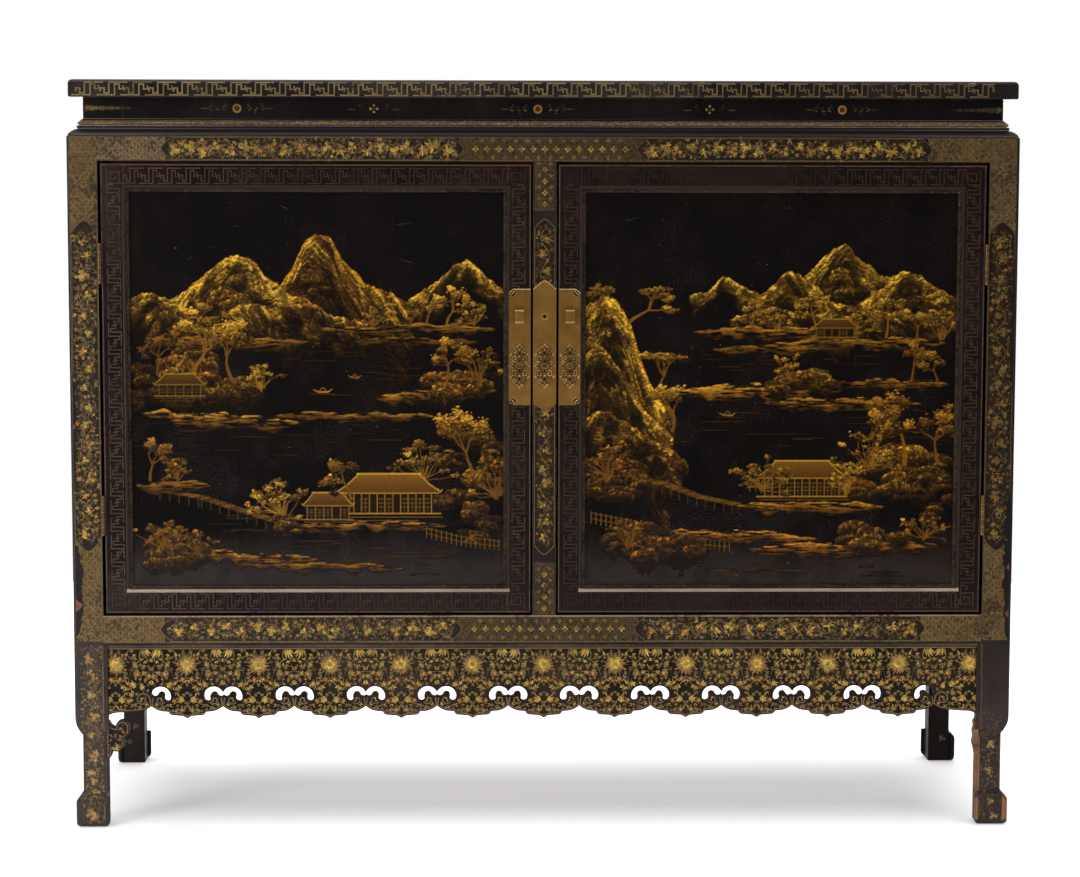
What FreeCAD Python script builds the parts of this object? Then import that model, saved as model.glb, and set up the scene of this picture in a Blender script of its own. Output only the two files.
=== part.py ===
import FreeCAD, Part
import math
import os
from FreeCAD import Vector

# A low two-door lacquer cabinet whose corner posts run down unbroken as its legs.
# Millimetres. +X is to the right of someone facing the doors, the doors face -Y, and +Z is up.
# The origin is on the floor, under the middle of the cabinet and its lock hardware.

# ---------------------------------------------------------------- overall sizes
case_width = 1300.0
case_depth = 450.0
leg_height = 259.0            # floor to the underside of the lower rails
lower_rail_height = 39.0
opening_height = 625.0        # clear height between the lower and upper rails
upper_rail_height = 34.5
neck_height = 51.5            # the neck boards stand on the upper rails, behind the moulding
top_thickness = 24.0

# ---------------------------------------------------------------- top and neck
top_inset = 3.0               # edge of the top, back from the case faces
top_member_width = 70.0
top_edge_round = 6.0
top_lower_round = 2.5
top_tongue_low = 8.0          # tongue of the top panel, above the underside of the frame
top_tongue_high = 14.0
top_tongue_depth = 8.0
top_panel_drop = 0.4          # face of the top panel, below the frame
neck_inset = 20.5             # face of the neck, back from the case faces
neck_board = 16.0

# ---------------------------------------------------------------- waist moulding
moulding_inset = 2.0          # lowest edge of the moulding, back from the case faces
moulding_shoulder = 4.5       # fall of its sloping top
moulding_bead = 4.2
moulding_groove = 0.9         # height of the grooves under the bead and under the band
moulding_band = 4.0
moulding_flare = 7.0
moulding_lip = 1.5
bead_reach = 6.7              # bead, band and flare, out from the face of the neck
bead_swell = 1.5
band_reach = 7.7
flare_reach = 8.5
groove_reach = 4.6            # bottom of the upper groove, out from the face of the neck
flare_groove_reach = 6.6       # bottom of the lower groove

# ---------------------------------------------------------------- posts and legs
post_size = 41.5              # square section, the same beside the doors and down the leg
leg_bead = 5.0                # bead down the inner edges of the leg, beyond the post's section
bead_set_back = 1.5           # front of the bead, behind the face of the leg
bead_round = 2.5
arris_round = 4.0
leg_cut = 9.5                 # how far the outer faces are cut back above the foot
leg_cut_start = 5.2           # start of the cut, above the lowest points of the apron
leg_cut_height = 29.0
foot_shoulder = 45.0
foot_top = 34.0
foot_round = 9.0

# ---------------------------------------------------------------- rails, panels and their joints
rail_recess = 5.5             # inner face of a rail, short of the inner face of the posts
tenon_web = 1.0               # wood left in a post between the mortises of two rails
tenon_set_back = 10.0         # face of the tenon, behind the face of its rail
tenon_thickness = 10.0
tenon_shoulder = 10.0
mortise_spare = 0.5           # room at the end of a mortise or groove
panel_set_back = 5.0
panel_thickness = 10.0
groove_depth = 8.0
muntin_width = 32.6
muntin_depth = 30.0
muntin_tenon_width = 20.0
muntin_tenon_length = 15.0
back_muntin_width = 40.0
back_tenon_set_back = 17.0

# ---------------------------------------------------------------- inside
floor_thickness = 14.0
floor_housing = 8.0           # how far the floor board lies in the lower rails
fitting_gap = 0.5             # round the notches of the floor and shelf boards
batten_width = 40.0
batten_height = 22.0
batten_spacing = 400.0
shelf_rise = 314.0            # top of the shelf, above the floor board
shelf_thickness = 16.0
bearer_width = 18.0
bearer_height = 24.0
stop_size = 10.0
stop_gap = 0.3                # between a closed door and its stops

# ---------------------------------------------------------------- apron, brackets and bead
bead_strip_height = 6.5
bead_strip_reach = 5.5        # how far the bead strip stands in front of the apron
apron_set_back = 6.0
apron_thickness = 14.0
apron_height = 106.2          # from the lower rails to the lowest points of the lobes
front_lobes = 11
front_apron_end = 64.0        # from a leg to the first cusp of the front apron
end_lobes = 3
end_apron_end = 35.0
cusp_rise = 17.2              # cusps between the lobes, above their lowest points
cloud_rise = 30.7             # centres of the cloud arches, above the lowest points
cloud_spread = 12.8
cloud_radius = 9.5
cloud_width = 9.0
back_apron_height = 59.0
bracket_thickness = 12.0

# ---------------------------------------------------------------- doors
door_gap_outer = 4.0
door_gap_centre = 2.5
door_gap_height = 4.0         # above and below each door
door_thickness = 22.0
door_edge_round = 1.2
door_member = 31.5
door_panel_set_back = 6.0
door_panel_thickness = 8.0
door_groove_depth = 8.0
door_tenon_length = 20.0
door_tenon_shoulder = 6.0
door_moulding_width = 6.5
door_moulding_height = 5.2

# ---------------------------------------------------------------- lock plates, staples and nails
plate_thickness = 1.6
plate_margin = 0.5            # wood that shows beside a plate
side_plate_height = 160.0
side_plate_rise = 288.0       # bottom of the plates, above the bottom of the doors
plate_chamfer = 7.0
corner_slot_radius = 2.6
corner_slot_width = 1.5
corner_slot_place = 6.2
centre_plate_tip = 12.0        # height of the lobed top of the middle plate
centre_plate_point = 9.5       # depth of its pointed lower end
centre_plate_lift = 2.5        # its lower corners, above the bottom of the side plates
staple_width = 12.0
staple_height = 20.5
staple_reach = 10.0
staple_wire = 2.2
staple_rise = 122.0           # middle of the staple, above the bottom of its plate
staple_hole_radius = 2.6
staple_hole_depth = 10.0
ornament_rise = 54.0          # middle of the nailed ornament, above the bottom of the plate
nail_margin = 4.25            # nails from the edges of their plate
nail_rise = 16.0              # outer nails, above and below the middle of the ornament
end_nail_rise = 29.0
nail_head_radius = 1.5
nail_head_height = 0.9
nail_shank_radius = 0.6
nail_tip_clear = 1.0           # wood left between a nail and the groove behind it
nail_fit = 0.05

# ---------------------------------------------------------------- hinges
hinge_height = 52.0
hinge_offset = 173.0          # hinge centres, above and below the middle of the door
hinge_knuckles = 5
knuckle_radius = 3.0
knuckle_clearance = 0.4       # between a knuckle and the faces of the case
knuckle_gap = 0.3             # between neighbouring knuckles
leaf_thickness = 1.4
leaf_depth = 20.0
pin_radius = 1.2
pin_fit = 0.05                # radial clearance of the pin
pin_head_radius = 2.1
pin_head_height = 1.6

# ---------------------------------------------------------------- derived places
half_width = case_width / 2
hardware_reach = plate_thickness + staple_reach
front = (hardware_reach - case_depth) / 2
back = front + case_depth
middle = (front + back) / 2
rail_low = leg_height
opening_bottom = rail_low + lower_rail_height
opening_top = opening_bottom + opening_height
case_top = opening_top + upper_rail_height
moulding_fall = moulding_shoulder + moulding_bead + moulding_groove + moulding_band + moulding_groove
moulding_height = moulding_fall + moulding_flare + moulding_lip
top_low = case_top + neck_height
post_face = half_width - post_size
leg_size = post_size + leg_bead
bead_face = half_width - leg_size
rail_depth = post_size - rail_recess
tenon_length = post_size - tenon_set_back - tenon_thickness - tenon_web - mortise_spare
apron_tip = leg_height - apron_height
cut_top = apron_tip + leg_cut_start
cut_low = cut_top - leg_cut_height
shelf_top = opening_bottom + shelf_rise
door_outer = post_face - door_gap_outer
door_inner = muntin_width / 2 + door_gap_centre
door_bottom = opening_bottom + door_gap_height
door_top = opening_top - door_gap_height
plate_face = front - plate_thickness
side_plate_bottom = door_bottom + side_plate_rise
side_plate_width = door_member - 2 * plate_margin
side_plate_centre = -(door_inner + door_member / 2)
centre_plate_width = muntin_width - 2 * plate_margin
nail_shank_length = door_panel_set_back - nail_tip_clear - mortise_spare
hinge_x = -(post_face - door_gap_outer / 2)
hinge_y = front - knuckle_radius - knuckle_clearance


# ---------------------------------------------------------------- shape helpers
def box(x, y, z):
    """A block between the two values given along each axis."""
    return Part.makeBox(x[1] - x[0], y[1] - y[0], z[1] - z[0], Vector(x[0], y[0], z[0]))


def in_plane(plane, a, b):
    """The 3-D point of a flat outline's point (a, b)."""
    if plane == "xz":
        return Vector(a, 0, b)
    if plane == "yz":
        return Vector(0, a, b)
    return Vector(a, b, 0)


def extruded(plane, steps, low, high):
    """Extrude an outline from low to high across its plane.

    A step is a point (a, b) at the end of a straight line, or a pair (via, end) of points of an arc.
    """
    edges = []
    here = steps[0]
    for step in list(steps[1:]) + [steps[0]]:
        is_arc = isinstance(step[0], tuple)
        end = step[1] if is_arc else step
        if math.dist(here, end) < 1e-6:
            continue
        start_point = in_plane(plane, *here)
        end_point = in_plane(plane, *end)
        if is_arc:
            edges.append(Part.Arc(start_point, in_plane(plane, *step[0]), end_point).toShape())
        else:
            edges.append(Part.LineSegment(start_point, end_point).toShape())
        here = end
    face = Part.Face(Part.Wire(edges))
    across = {"xz": Vector(0, 1, 0), "yz": Vector(1, 0, 0), "xy": Vector(0, 0, 1)}[plane]
    solid = face.extrude(across * (high - low))
    solid.translate(across * low)
    return solid


def corner_arc(corner_from, corner, corner_to):
    """The arc step that rounds a square corner between two points at equal distances from it."""
    centre_a = corner_from[0] + corner_to[0] - corner[0]
    centre_b = corner_from[1] + corner_to[1] - corner[1]
    via = (centre_a + (corner[0] - centre_a) * math.sqrt(0.5), centre_b + (corner[1] - centre_b) * math.sqrt(0.5))
    return (via, corner_to)


def joined(shapes):
    """Fuse several solids into one and merge their coplanar faces."""
    result = shapes[0]
    for shape in shapes[1:]:
        result = result.fuse(shape)
    return result.removeSplitter()


def less(shape, cutters):
    """Cut several tools from a solid."""
    for cutter in cutters:
        shape = shape.cut(cutter)
    return shape


def to_right(shape):
    """The mirror image on the right-hand side."""
    return shape.mirror(Vector(0, 0, 0), Vector(1, 0, 0))


def to_back(shape):
    """The mirror image at the back of the case."""
    return shape.mirror(Vector(0, middle, 0), Vector(0, 1, 0))


def all_corners(shape):
    """A left front piece with its three mirror images."""
    return [shape, to_right(shape), to_back(shape), to_right(to_back(shape))]


def rounded_edge(shape, radius, x=None, y=None, z=None):
    """Round the straight edges whose middle lies at the places given."""
    chosen = []
    for edge in shape.Edges:
        centre = edge.CenterOfMass
        places = ((x, centre.x), (y, centre.y), (z, centre.z))
        if all(want is None or abs(want - have) < 1e-4 for want, have in places):
            chosen.append(edge)
    return shape.makeFillet(radius, chosen)


def mitred_ring(half_x, low_y, high_y, width, section, low_z=0.0, high_z=1000.0):
    """Four mitred strips round a rectangle centred on X = 0.

    section(inset) gives the outline's steps, and inset turns a distance from the outer edge into a place
    along the outline's first axis.
    """
    front_strip = extruded("yz", section(lambda d: low_y + d), -half_x, half_x)
    front_zone = ((-half_x, low_y), (half_x, low_y), (half_x - width, low_y + width),
                  (-half_x + width, low_y + width))
    left_strip = extruded("xz", section(lambda d: -half_x + d), low_y, high_y)
    left_zone = ((-half_x, low_y), (-half_x + width, low_y + width), (-half_x + width, high_y - width),
                 (-half_x, high_y))
    front_strip = front_strip.common(extruded("xy", front_zone, low_z, high_z))
    left_strip = left_strip.common(extruded("xy", left_zone, low_z, high_z))
    centre = (low_y + high_y) / 2
    back_strip = front_strip.mirror(Vector(0, centre, 0), Vector(0, 1, 0))
    return [front_strip, back_strip, left_strip, to_right(left_strip)]


def arc_slot(centre_x, centre_z, radius, width, start_deg, end_deg):
    """The outline, in the XZ plane, of a slot that follows an arc and has round ends."""
    def at(distance, angle):
        turn = math.radians(angle)
        return (centre_x + distance * math.cos(turn), centre_z + distance * math.sin(turn))

    half = width / 2
    mid_deg = (start_deg + end_deg) / 2

    def end_cap(angle, outward):
        centre = at(radius, angle)
        turn = math.radians(angle + outward * 90)
        return (centre[0] + half * math.cos(turn), centre[1] + half * math.sin(turn))

    return (at(radius + half, start_deg),
            (at(radius + half, mid_deg), at(radius + half, end_deg)),
            (end_cap(end_deg, 1), at(radius - half, end_deg)),
            (at(radius - half, mid_deg), at(radius - half, start_deg)),
            (end_cap(start_deg, -1), at(radius + half, start_deg)))


# ---------------------------------------------------------------- top and neck
def top_frame():
    def section(inset):
        groove = top_member_width - top_tongue_depth
        corner = (inset(0), top_low + top_thickness)
        lower_corner = (inset(0), top_low)
        return ((inset(top_lower_round), top_low),
                (inset(top_member_width), top_low),
                (inset(top_member_width), top_low + top_tongue_low),
                (inset(groove), top_low + top_tongue_low),
                (inset(groove), top_low + top_tongue_high),
                (inset(top_member_width), top_low + top_tongue_high),
                (inset(top_member_width), top_low + top_thickness),
                (inset(top_edge_round), top_low + top_thickness),
                corner_arc((inset(top_edge_round), corner[1]), corner, (corner[0], corner[1] - top_edge_round)),
                (inset(0), top_low + top_lower_round),
                corner_arc((lower_corner[0], top_low + top_lower_round), lower_corner,
                           (inset(top_lower_round), top_low)))

    ring = mitred_ring(half_width - top_inset, front + top_inset, back - top_inset, top_member_width, section,
                       top_low, top_low + top_thickness)
    return Part.makeCompound(ring)


def top_panel():
    inner_x = half_width - top_inset - top_member_width
    inner_front = front + top_inset + top_member_width
    inner_back = back - top_inset - top_member_width
    reach = top_tongue_depth - mortise_spare
    field = box((-inner_x + mortise_spare, inner_x - mortise_spare),
                (inner_front + mortise_spare, inner_back - mortise_spare),
                (top_low + top_tongue_low, top_low + top_thickness - top_panel_drop))
    tongue = box((-inner_x - reach, inner_x + reach), (inner_front - reach, inner_back + reach),
                 (top_low + top_tongue_low, top_low + top_tongue_high))
    return joined([field, tongue])


def neck_boards():
    face_x = half_width - neck_inset
    z = (case_top, top_low)
    front_board = box((-face_x, face_x), (front + neck_inset, front + neck_inset + neck_board), z)
    side_y = (front + neck_inset + neck_board, back - neck_inset - neck_board)
    side_board = box((-face_x, -face_x + neck_board), side_y, z)
    return Part.makeCompound([front_board, to_back(front_board), side_board, to_right(side_board)])


def waist_moulding():
    """A bead and a band over a flare, in the angle between the neck and the case."""
    width = neck_inset - moulding_inset
    high = case_top + moulding_height

    def section(inset):
        def at(out, fall):
            return (inset(width - out), high - fall)

        bead_edge = bead_reach - bead_swell
        bead_low = moulding_shoulder + moulding_bead
        band_high = bead_low + moulding_groove
        band_low = band_high + moulding_band
        flare_low = moulding_fall + moulding_flare
        flare_middle = at((flare_reach + width) / 2 + 0.6, (moulding_fall + flare_low) / 2 - 0.6)
        return (at(width, moulding_height), at(0, moulding_height), at(0, 0),
                at(bead_edge, moulding_shoulder),
                (at(bead_reach, (moulding_shoulder + bead_low) / 2), at(bead_edge, bead_low)),
                at(groove_reach, bead_low),
                at(groove_reach, band_high),
                at(band_reach, band_high),
                at(band_reach, band_low),
                at(flare_groove_reach, band_low),
                at(flare_groove_reach, moulding_fall),
                at(flare_reach, moulding_fall),
                (flare_middle, at(width, flare_low)))

    ring = mitred_ring(half_width - moulding_inset, front + moulding_inset, back - moulding_inset, width,
                       section, case_top, high)
    return Part.makeCompound(ring)


# ---------------------------------------------------------------- posts
def rail_heights():
    return {"lower": (rail_low, opening_bottom), "upper": (opening_top, case_top)}


def tenon_height(rail):
    low, high = rail_heights()[rail]
    return (low + tenon_shoulder, high - tenon_shoulder)


def leg_outline(plane):
    """The outer side of a post and leg, cut back above a block foot, in one of its two directions."""
    def at(inward, z):
        along = -half_width if plane == "xz" else front
        return (along + inward, z)

    steps = (at(0, case_top - arris_round),
             corner_arc(at(0, case_top - arris_round), at(0, case_top), at(arris_round, case_top)),
             at(leg_size, case_top),
             at(leg_size, foot_round),
             corner_arc(at(leg_size, foot_round), at(leg_size, 0), at(leg_size - foot_round, 0)),
             at(foot_round, 0),
             corner_arc(at(foot_round, 0), at(0, 0), at(0, foot_round)),
             at(0, foot_top),
             (at(leg_cut * 0.27, foot_top + (foot_shoulder - foot_top) * 0.62), at(leg_cut, foot_shoulder)),
             at(leg_cut, cut_low),
             (at(leg_cut * 0.3, cut_low + leg_cut_height * 0.45), at(0, cut_top)))
    across = (front, front + leg_size) if plane == "xz" else (-half_width, -half_width + leg_size)
    return extruded(plane, steps, *across)


def leg_bead_outline(x, y, low, high):
    """A strip with a rounded front edge, inside the apron's face, on the inner edge of a leg."""
    turn = bead_round * (1 - math.sqrt(0.5))
    return ((x, y + low), (x + leg_bead - bead_round, y + low),
            ((x + leg_bead - turn, y + low + turn), (x + leg_bead, y + low + bead_round)),
            (x + leg_bead, y + high), (x, y + high))


def post_blank():
    """The left front post before its joints are cut."""
    x, y = -half_width, front
    rounded = corner_arc((x, y + arris_round), (x, y), (x + arris_round, y))
    core = extruded("xy", ((x, y + arris_round), rounded, (x + post_size, y), (x + post_size, y + post_size),
                           (x, y + post_size)), 0, case_top)
    front_bead = extruded("xy", leg_bead_outline(x + post_size, y, bead_set_back, apron_set_back), 0, leg_height)
    # The bead for the end apron is the same strip with its two directions exchanged.
    end_bead = front_bead.mirror(Vector(x, y, 0), Vector(1, -1, 0))
    blank = joined([core, front_bead, end_bead])
    return blank.common(leg_outline("xz")).common(leg_outline("yz")).removeSplitter()


def post(at_back):
    """The left post, at the front, or mirrored from there to the back with the back panel's groove."""
    x, y = -half_width, front
    mortise = tenon_length + mortise_spare
    tenon_band = (tenon_set_back, tenon_set_back + tenon_thickness)
    panel_band = (panel_set_back, panel_set_back + panel_thickness)
    groove_z = (opening_bottom - groove_depth, opening_top + groove_depth)
    deep = (post_size - mortise, post_size)
    shallow = (post_size - groove_depth, post_size)
    cutters = []
    for rail in ("lower", "upper"):
        z = tenon_height(rail)
        cutters.append(box((x + deep[0], x + deep[1]), (y + tenon_band[0], y + tenon_band[1]), z))
        cutters.append(box((x + tenon_band[0], x + tenon_band[1]), (y + deep[0], y + deep[1]), z))
    cutters.append(box((x + panel_band[0], x + panel_band[1]), (y + shallow[0], y + shallow[1]), groove_z))
    if at_back:
        cutters.append(box((x + shallow[0], x + shallow[1]), (y + panel_band[0], y + panel_band[1]), groove_z))
    shape = less(post_blank(), cutters)
    return to_back(shape) if at_back else shape


# ---------------------------------------------------------------- rails and muntins
def long_rail(rail, at_back):
    """A front rail, or one mirrored to the back with the back panels' groove, with its tenons."""
    low, high = rail_heights()[rail]
    body = box((-post_face, post_face), (front, front + rail_depth), (low, high))
    if rail == "upper":
        body = rounded_edge(body, arris_round, y=front, z=high)
    tenon_y = (front + tenon_set_back, front + tenon_set_back + tenon_thickness)
    tenon = box((-post_face - tenon_length, -post_face), tenon_y, tenon_height(rail))
    shape = joined([body, tenon, to_right(tenon)])
    cutters = []
    edge = high if rail == "lower" else low
    into = -1 if rail == "lower" else 1
    depth = muntin_tenon_length + mortise_spare
    mortise_z = tuple(sorted((edge, edge + into * depth)))
    half_tenon = muntin_tenon_width / 2
    set_back = back_tenon_set_back if at_back else tenon_set_back
    cutters.append(box((-half_tenon, half_tenon),
                       (front + set_back, front + set_back + tenon_thickness), mortise_z))
    if at_back:
        groove_z = tuple(sorted((edge, edge + into * groove_depth)))
        cutters.append(box((-post_face, post_face),
                           (front + panel_set_back, front + panel_set_back + panel_thickness), groove_z))
    if rail == "lower":
        cutters.append(box((-post_face, post_face), (front + rail_depth - floor_housing, front + rail_depth),
                           (high - floor_thickness, high)))
    shape = less(shape, cutters)
    return to_back(shape) if at_back else shape


def end_rail(rail):
    """A rail of the left end, with its tenons."""
    low, high = rail_heights()[rail]
    y = (front + post_size, back - post_size)
    body = box((-half_width, -half_width + rail_depth), y, (low, high))
    if rail == "upper":
        body = rounded_edge(body, arris_round, x=-half_width, z=high)
    tenon_x = (-half_width + tenon_set_back, -half_width + tenon_set_back + tenon_thickness)
    tenon = box(tenon_x, (y[0] - tenon_length, y[0]), tenon_height(rail))
    shape = joined([body, tenon, to_back(tenon)])
    edge = high if rail == "lower" else low
    into = -1 if rail == "lower" else 1
    groove_z = tuple(sorted((edge, edge + into * groove_depth)))
    groove_x = (-half_width + panel_set_back, -half_width + panel_set_back + panel_thickness)
    cutters = [box(groove_x, y, groove_z)]
    if rail == "lower":
        housing_x = (-half_width + rail_depth - floor_housing, -half_width + rail_depth)
        cutters.append(box(housing_x, y, (high - floor_thickness, high)))
    return less(shape, cutters)


def centre_muntin():
    half = muntin_width / 2
    half_tenon = muntin_tenon_width / 2
    body = box((-half, half), (front, front + muntin_depth), (opening_bottom, opening_top))
    tenon = box((-half_tenon, half_tenon), (front + tenon_set_back, front + tenon_set_back + tenon_thickness),
                (opening_bottom - muntin_tenon_length, opening_top + muntin_tenon_length))
    hole = Part.makeCylinder(staple_hole_radius, staple_hole_depth,
                             Vector(0, front, side_plate_bottom + staple_rise), Vector(0, 1, 0))
    return less(joined([body, tenon]), [hole] + nail_holes(0.0))


def back_muntin_tenon(spare):
    """The bar through the back muntin whose ends are its tenons."""
    half = muntin_tenon_width / 2 + spare
    y = (back - back_tenon_set_back - tenon_thickness - spare, back - back_tenon_set_back + spare)
    return box((-half, half), y, (opening_bottom - muntin_tenon_length, opening_top + muntin_tenon_length))


def back_muntin():
    half = back_muntin_width / 2
    body = box((-half, half), (back - rail_depth, back), (opening_bottom, opening_top))
    tenon = back_muntin_tenon(0.0)
    groove = box((-half, -half + groove_depth), (back - panel_set_back - panel_thickness, back - panel_set_back),
                 (opening_bottom, opening_top))
    return less(joined([body, tenon]), [groove, to_right(groove)])


# ---------------------------------------------------------------- panels, floor and shelf
def end_panel():
    reach = groove_depth - mortise_spare
    x = (-half_width + panel_set_back, -half_width + panel_set_back + panel_thickness)
    return box(x, (front + post_size - reach, back - post_size + reach),
               (opening_bottom - reach, opening_top + reach))


def back_panel():
    """The left half of the back."""
    reach = groove_depth - mortise_spare
    y = (back - panel_set_back - panel_thickness, back - panel_set_back)
    z = (opening_bottom - reach, opening_top + reach)
    half = back_muntin_width / 2
    beside_muntin = box((-post_face - reach, -half + reach), y, z)
    clear_of_tenon = [box((-half, 0), y, (z[0], opening_bottom)), box((-half, 0), y, (opening_top, z[1]))]
    return less(beside_muntin, clear_of_tenon)


def post_notches(z):
    """The room that a board inside leaves for the four posts."""
    size = post_size + fitting_gap
    return all_corners(box((-half_width, -half_width + size), (front, front + size), z))


def floor_board():
    inset = rail_depth - floor_housing
    z = (opening_bottom - floor_thickness, opening_bottom)
    board = box((-half_width + inset, half_width - inset), (front + inset, back - inset), z)
    return less(board, post_notches(z) + [back_muntin_tenon(fitting_gap)])


def floor_battens():
    low = opening_bottom - floor_thickness - batten_height
    battens = []
    for place in (-batten_spacing, 0.0, batten_spacing):
        battens.append(box((place - batten_width / 2, place + batten_width / 2),
                           (front + rail_depth, back - rail_depth), (low, low + batten_height)))
    return Part.makeCompound(battens)


def shelf():
    side = half_width - panel_set_back - panel_thickness - fitting_gap
    z = (shelf_top - shelf_thickness, shelf_top)
    front_edge = front + post_size + fitting_gap
    board = box((-side, side), (front_edge, back - panel_set_back - panel_thickness - fitting_gap), z)
    half_notch = back_muntin_width / 2 + fitting_gap
    muntin_notch = box((-half_notch, half_notch), (back - rail_depth - fitting_gap, back), z)
    return less(board, post_notches(z) + [muntin_notch])


def shelf_bearers():
    z = (shelf_top - shelf_thickness - bearer_height, shelf_top - shelf_thickness)
    side = half_width - panel_set_back - panel_thickness
    inner_back = back - panel_set_back - panel_thickness
    end_bearer = box((-side, -side + bearer_width), (front + post_size, back - post_size), z)
    back_bearer = box((-post_face, -back_muntin_width / 2), (inner_back - bearer_width, inner_back), z)
    return Part.makeCompound([end_bearer, to_right(end_bearer), back_bearer, to_right(back_bearer)])


def door_stops():
    y_low = front + door_thickness + stop_gap
    x = (-post_face, -muntin_width / 2)
    lower = box(x, (y_low, y_low + stop_size), (opening_bottom, opening_bottom + stop_size))
    upper = box(x, (y_low, y_low + stop_size), (opening_top - stop_size, opening_top))
    notch = box((-muntin_width / 2, 0), (front, front + muntin_depth), (opening_bottom, opening_top))
    strips = [less(strip, [notch]) for strip in (lower, upper)]
    return Part.makeCompound(strips + [to_right(strip) for strip in strips])


# ---------------------------------------------------------------- aprons, bead and brackets
def half_lobe(cusp, direction, half_pitch):
    """Steps from a cusp down to the lowest point of the lobe beside it."""
    def at(share, rise):
        return (cusp + direction * share * half_pitch, apron_tip + rise)

    return [(at(0.16, cusp_rise * 0.7), at(0.40, cusp_rise * 0.56)),
            at(0.48, cusp_rise * 0.53),
            (at(0.535, cusp_rise * 0.32), at(0.61, cusp_rise * 0.26)),
            at(0.88, cusp_rise * 0.2),
            at(1.0, 0.0)]


def reversed_steps(start, steps):
    """The same outline walked backwards, without its first point."""
    corners = [start] + [step[1] if isinstance(step[0], tuple) else step for step in steps]
    walked = []
    for index in range(len(steps) - 1, -1, -1):
        step = steps[index]
        target = corners[index]
        walked.append((step[0], target) if isinstance(step[0], tuple) else target)
    return walked


def apron_end(leg, cusp):
    """Steps from the leg to the first cusp of the apron."""
    span = cusp - leg

    def at(share, rise):
        return (leg + share * span, apron_tip + rise)

    return [(at(0.13, cusp_rise * 0.38), at(0.34, cusp_rise * 0.49)),
            at(0.66, cusp_rise * 0.58),
            (at(0.87, cusp_rise * 0.72), at(1.0, cusp_rise))]


def apron_blank(plane, centre, half_span, lobes, end_length, across):
    """A lobed board between two legs, pierced with a double cloud above each cusp."""
    half_pitch = (half_span - end_length) / lobes
    lobe_pitch = 2 * half_pitch
    first = centre - lobes * half_pitch
    leg_point = (centre - half_span, apron_tip + cusp_rise * 0.12)
    steps = [leg_point] + apron_end(leg_point[0], first)
    for lobe in range(lobes):
        cusp = first + lobe * lobe_pitch
        next_cusp = cusp + lobe_pitch
        going_down = half_lobe(cusp, 1, half_pitch)
        mirrored = half_lobe(next_cusp, -1, half_pitch)
        steps += going_down + reversed_steps((next_cusp, apron_tip + cusp_rise), mirrored)
    far_leg = (centre + half_span, leg_point[1])
    last = centre + lobes * half_pitch
    steps += reversed_steps(far_leg, apron_end(far_leg[0], last))
    steps += [(centre + half_span, leg_height), (centre - half_span, leg_height)]
    board = extruded(plane, steps, *across)
    cutters = []
    for index in range(lobes + 1):
        cusp = first + index * lobe_pitch
        for side in (-1, 1):
            if (index == 0 and side < 0) or (index == lobes and side > 0):
                continue
            centre_a = cusp + side * cloud_spread
            angles = (-20, 160) if side > 0 else (20, 200)
            slot = arc_slot(centre_a, apron_tip + cloud_rise, cloud_radius, cloud_width, *angles)
            cutters.append(extruded(plane, slot, across[0] - 1, across[1] + 1))
    return less(board, cutters)


def front_apron():
    low = front + apron_set_back
    return apron_blank("xz", 0.0, post_face, front_lobes, front_apron_end, (low, low + apron_thickness))


def end_apron():
    low = -half_width + apron_set_back
    half_span = case_depth / 2 - post_size
    return apron_blank("yz", middle, half_span, end_lobes, end_apron_end, (low, low + apron_thickness))


def back_apron():
    high = back - apron_set_back
    return box((-post_face, post_face), (high - apron_thickness, high), (leg_height - back_apron_height, leg_height))


def bead_strips():
    """Half-round strips in the angle between the lower rails and the aprons."""
    half = bead_strip_height / 2

    def strip(plane, face, ends):
        flat = face + bead_strip_reach
        steps = ((flat, leg_height - bead_strip_height), (flat, leg_height),
                 (face + half, leg_height),
                 ((face, leg_height - half), (face + half, leg_height - bead_strip_height)))
        return extruded(plane, steps, *ends)

    front_strip = strip("yz", front + apron_set_back - bead_strip_reach, (-bead_face, bead_face))
    end_strip = strip("xz", -half_width + apron_set_back - bead_strip_reach, (front + leg_size, back - leg_size))
    return Part.makeCompound([front_strip, to_back(front_strip), end_strip, to_right(end_strip)])


def bracket(plane, leg, across):
    """A scroll bracket with a hooked head, fixed to a leg behind its bead."""
    def at(out, rise):
        return (leg + leg_bead + out, apron_tip + rise)

    steps = ((leg, apron_tip - 4.0), at(0, -4.0),
             (at(3.0, -9.5), at(8.5, -13.0)),
             (at(10.3, -6.5), at(17.4, -2.4)),
             (at(25.5, -6.0), at(27.8, -13.0)),
             (at(26.5, -21.5), at(17.4, -28.3)),
             (at(21.0, -34.0), at(16.2, -43.2)),
             (at(11.0, -46.5), at(4.0, -44.6)),
             (at(3.6, -50.0), at(0, -56.3)),
             (leg, apron_tip - 56.3))
    return extruded(plane, steps, *across)


def front_bracket():
    low = front + apron_set_back
    return bracket("xz", -post_face, (low, low + bracket_thickness))


def end_brackets():
    low = -half_width + apron_set_back
    one = bracket("yz", front + post_size, (low, low + bracket_thickness))
    return Part.makeCompound(all_corners(one))


def bracket_stub():
    """What is left on the right front leg of a bracket that broke away."""
    low = front + apron_set_back
    break_line = ((0, -4), (2.4, -7), (1.5, -14), (3.2, -20), (2.1, -29), (3.6, -37), (1.3, -45), (0, -53))
    steps = [(bead_face - out, apron_tip + rise) for out, rise in break_line]
    steps += [(post_face, steps[-1][1]), (post_face, steps[0][1])]
    return extruded("xz", steps, low, low + bracket_thickness)


# ---------------------------------------------------------------- doors, modelled on the left
door_y = (front, front + door_thickness)
door_groove_y = (front + door_panel_set_back, front + door_panel_set_back + door_panel_thickness)
door_groove_z = (door_bottom + door_member - door_groove_depth, door_top - door_member + door_groove_depth)


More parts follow.
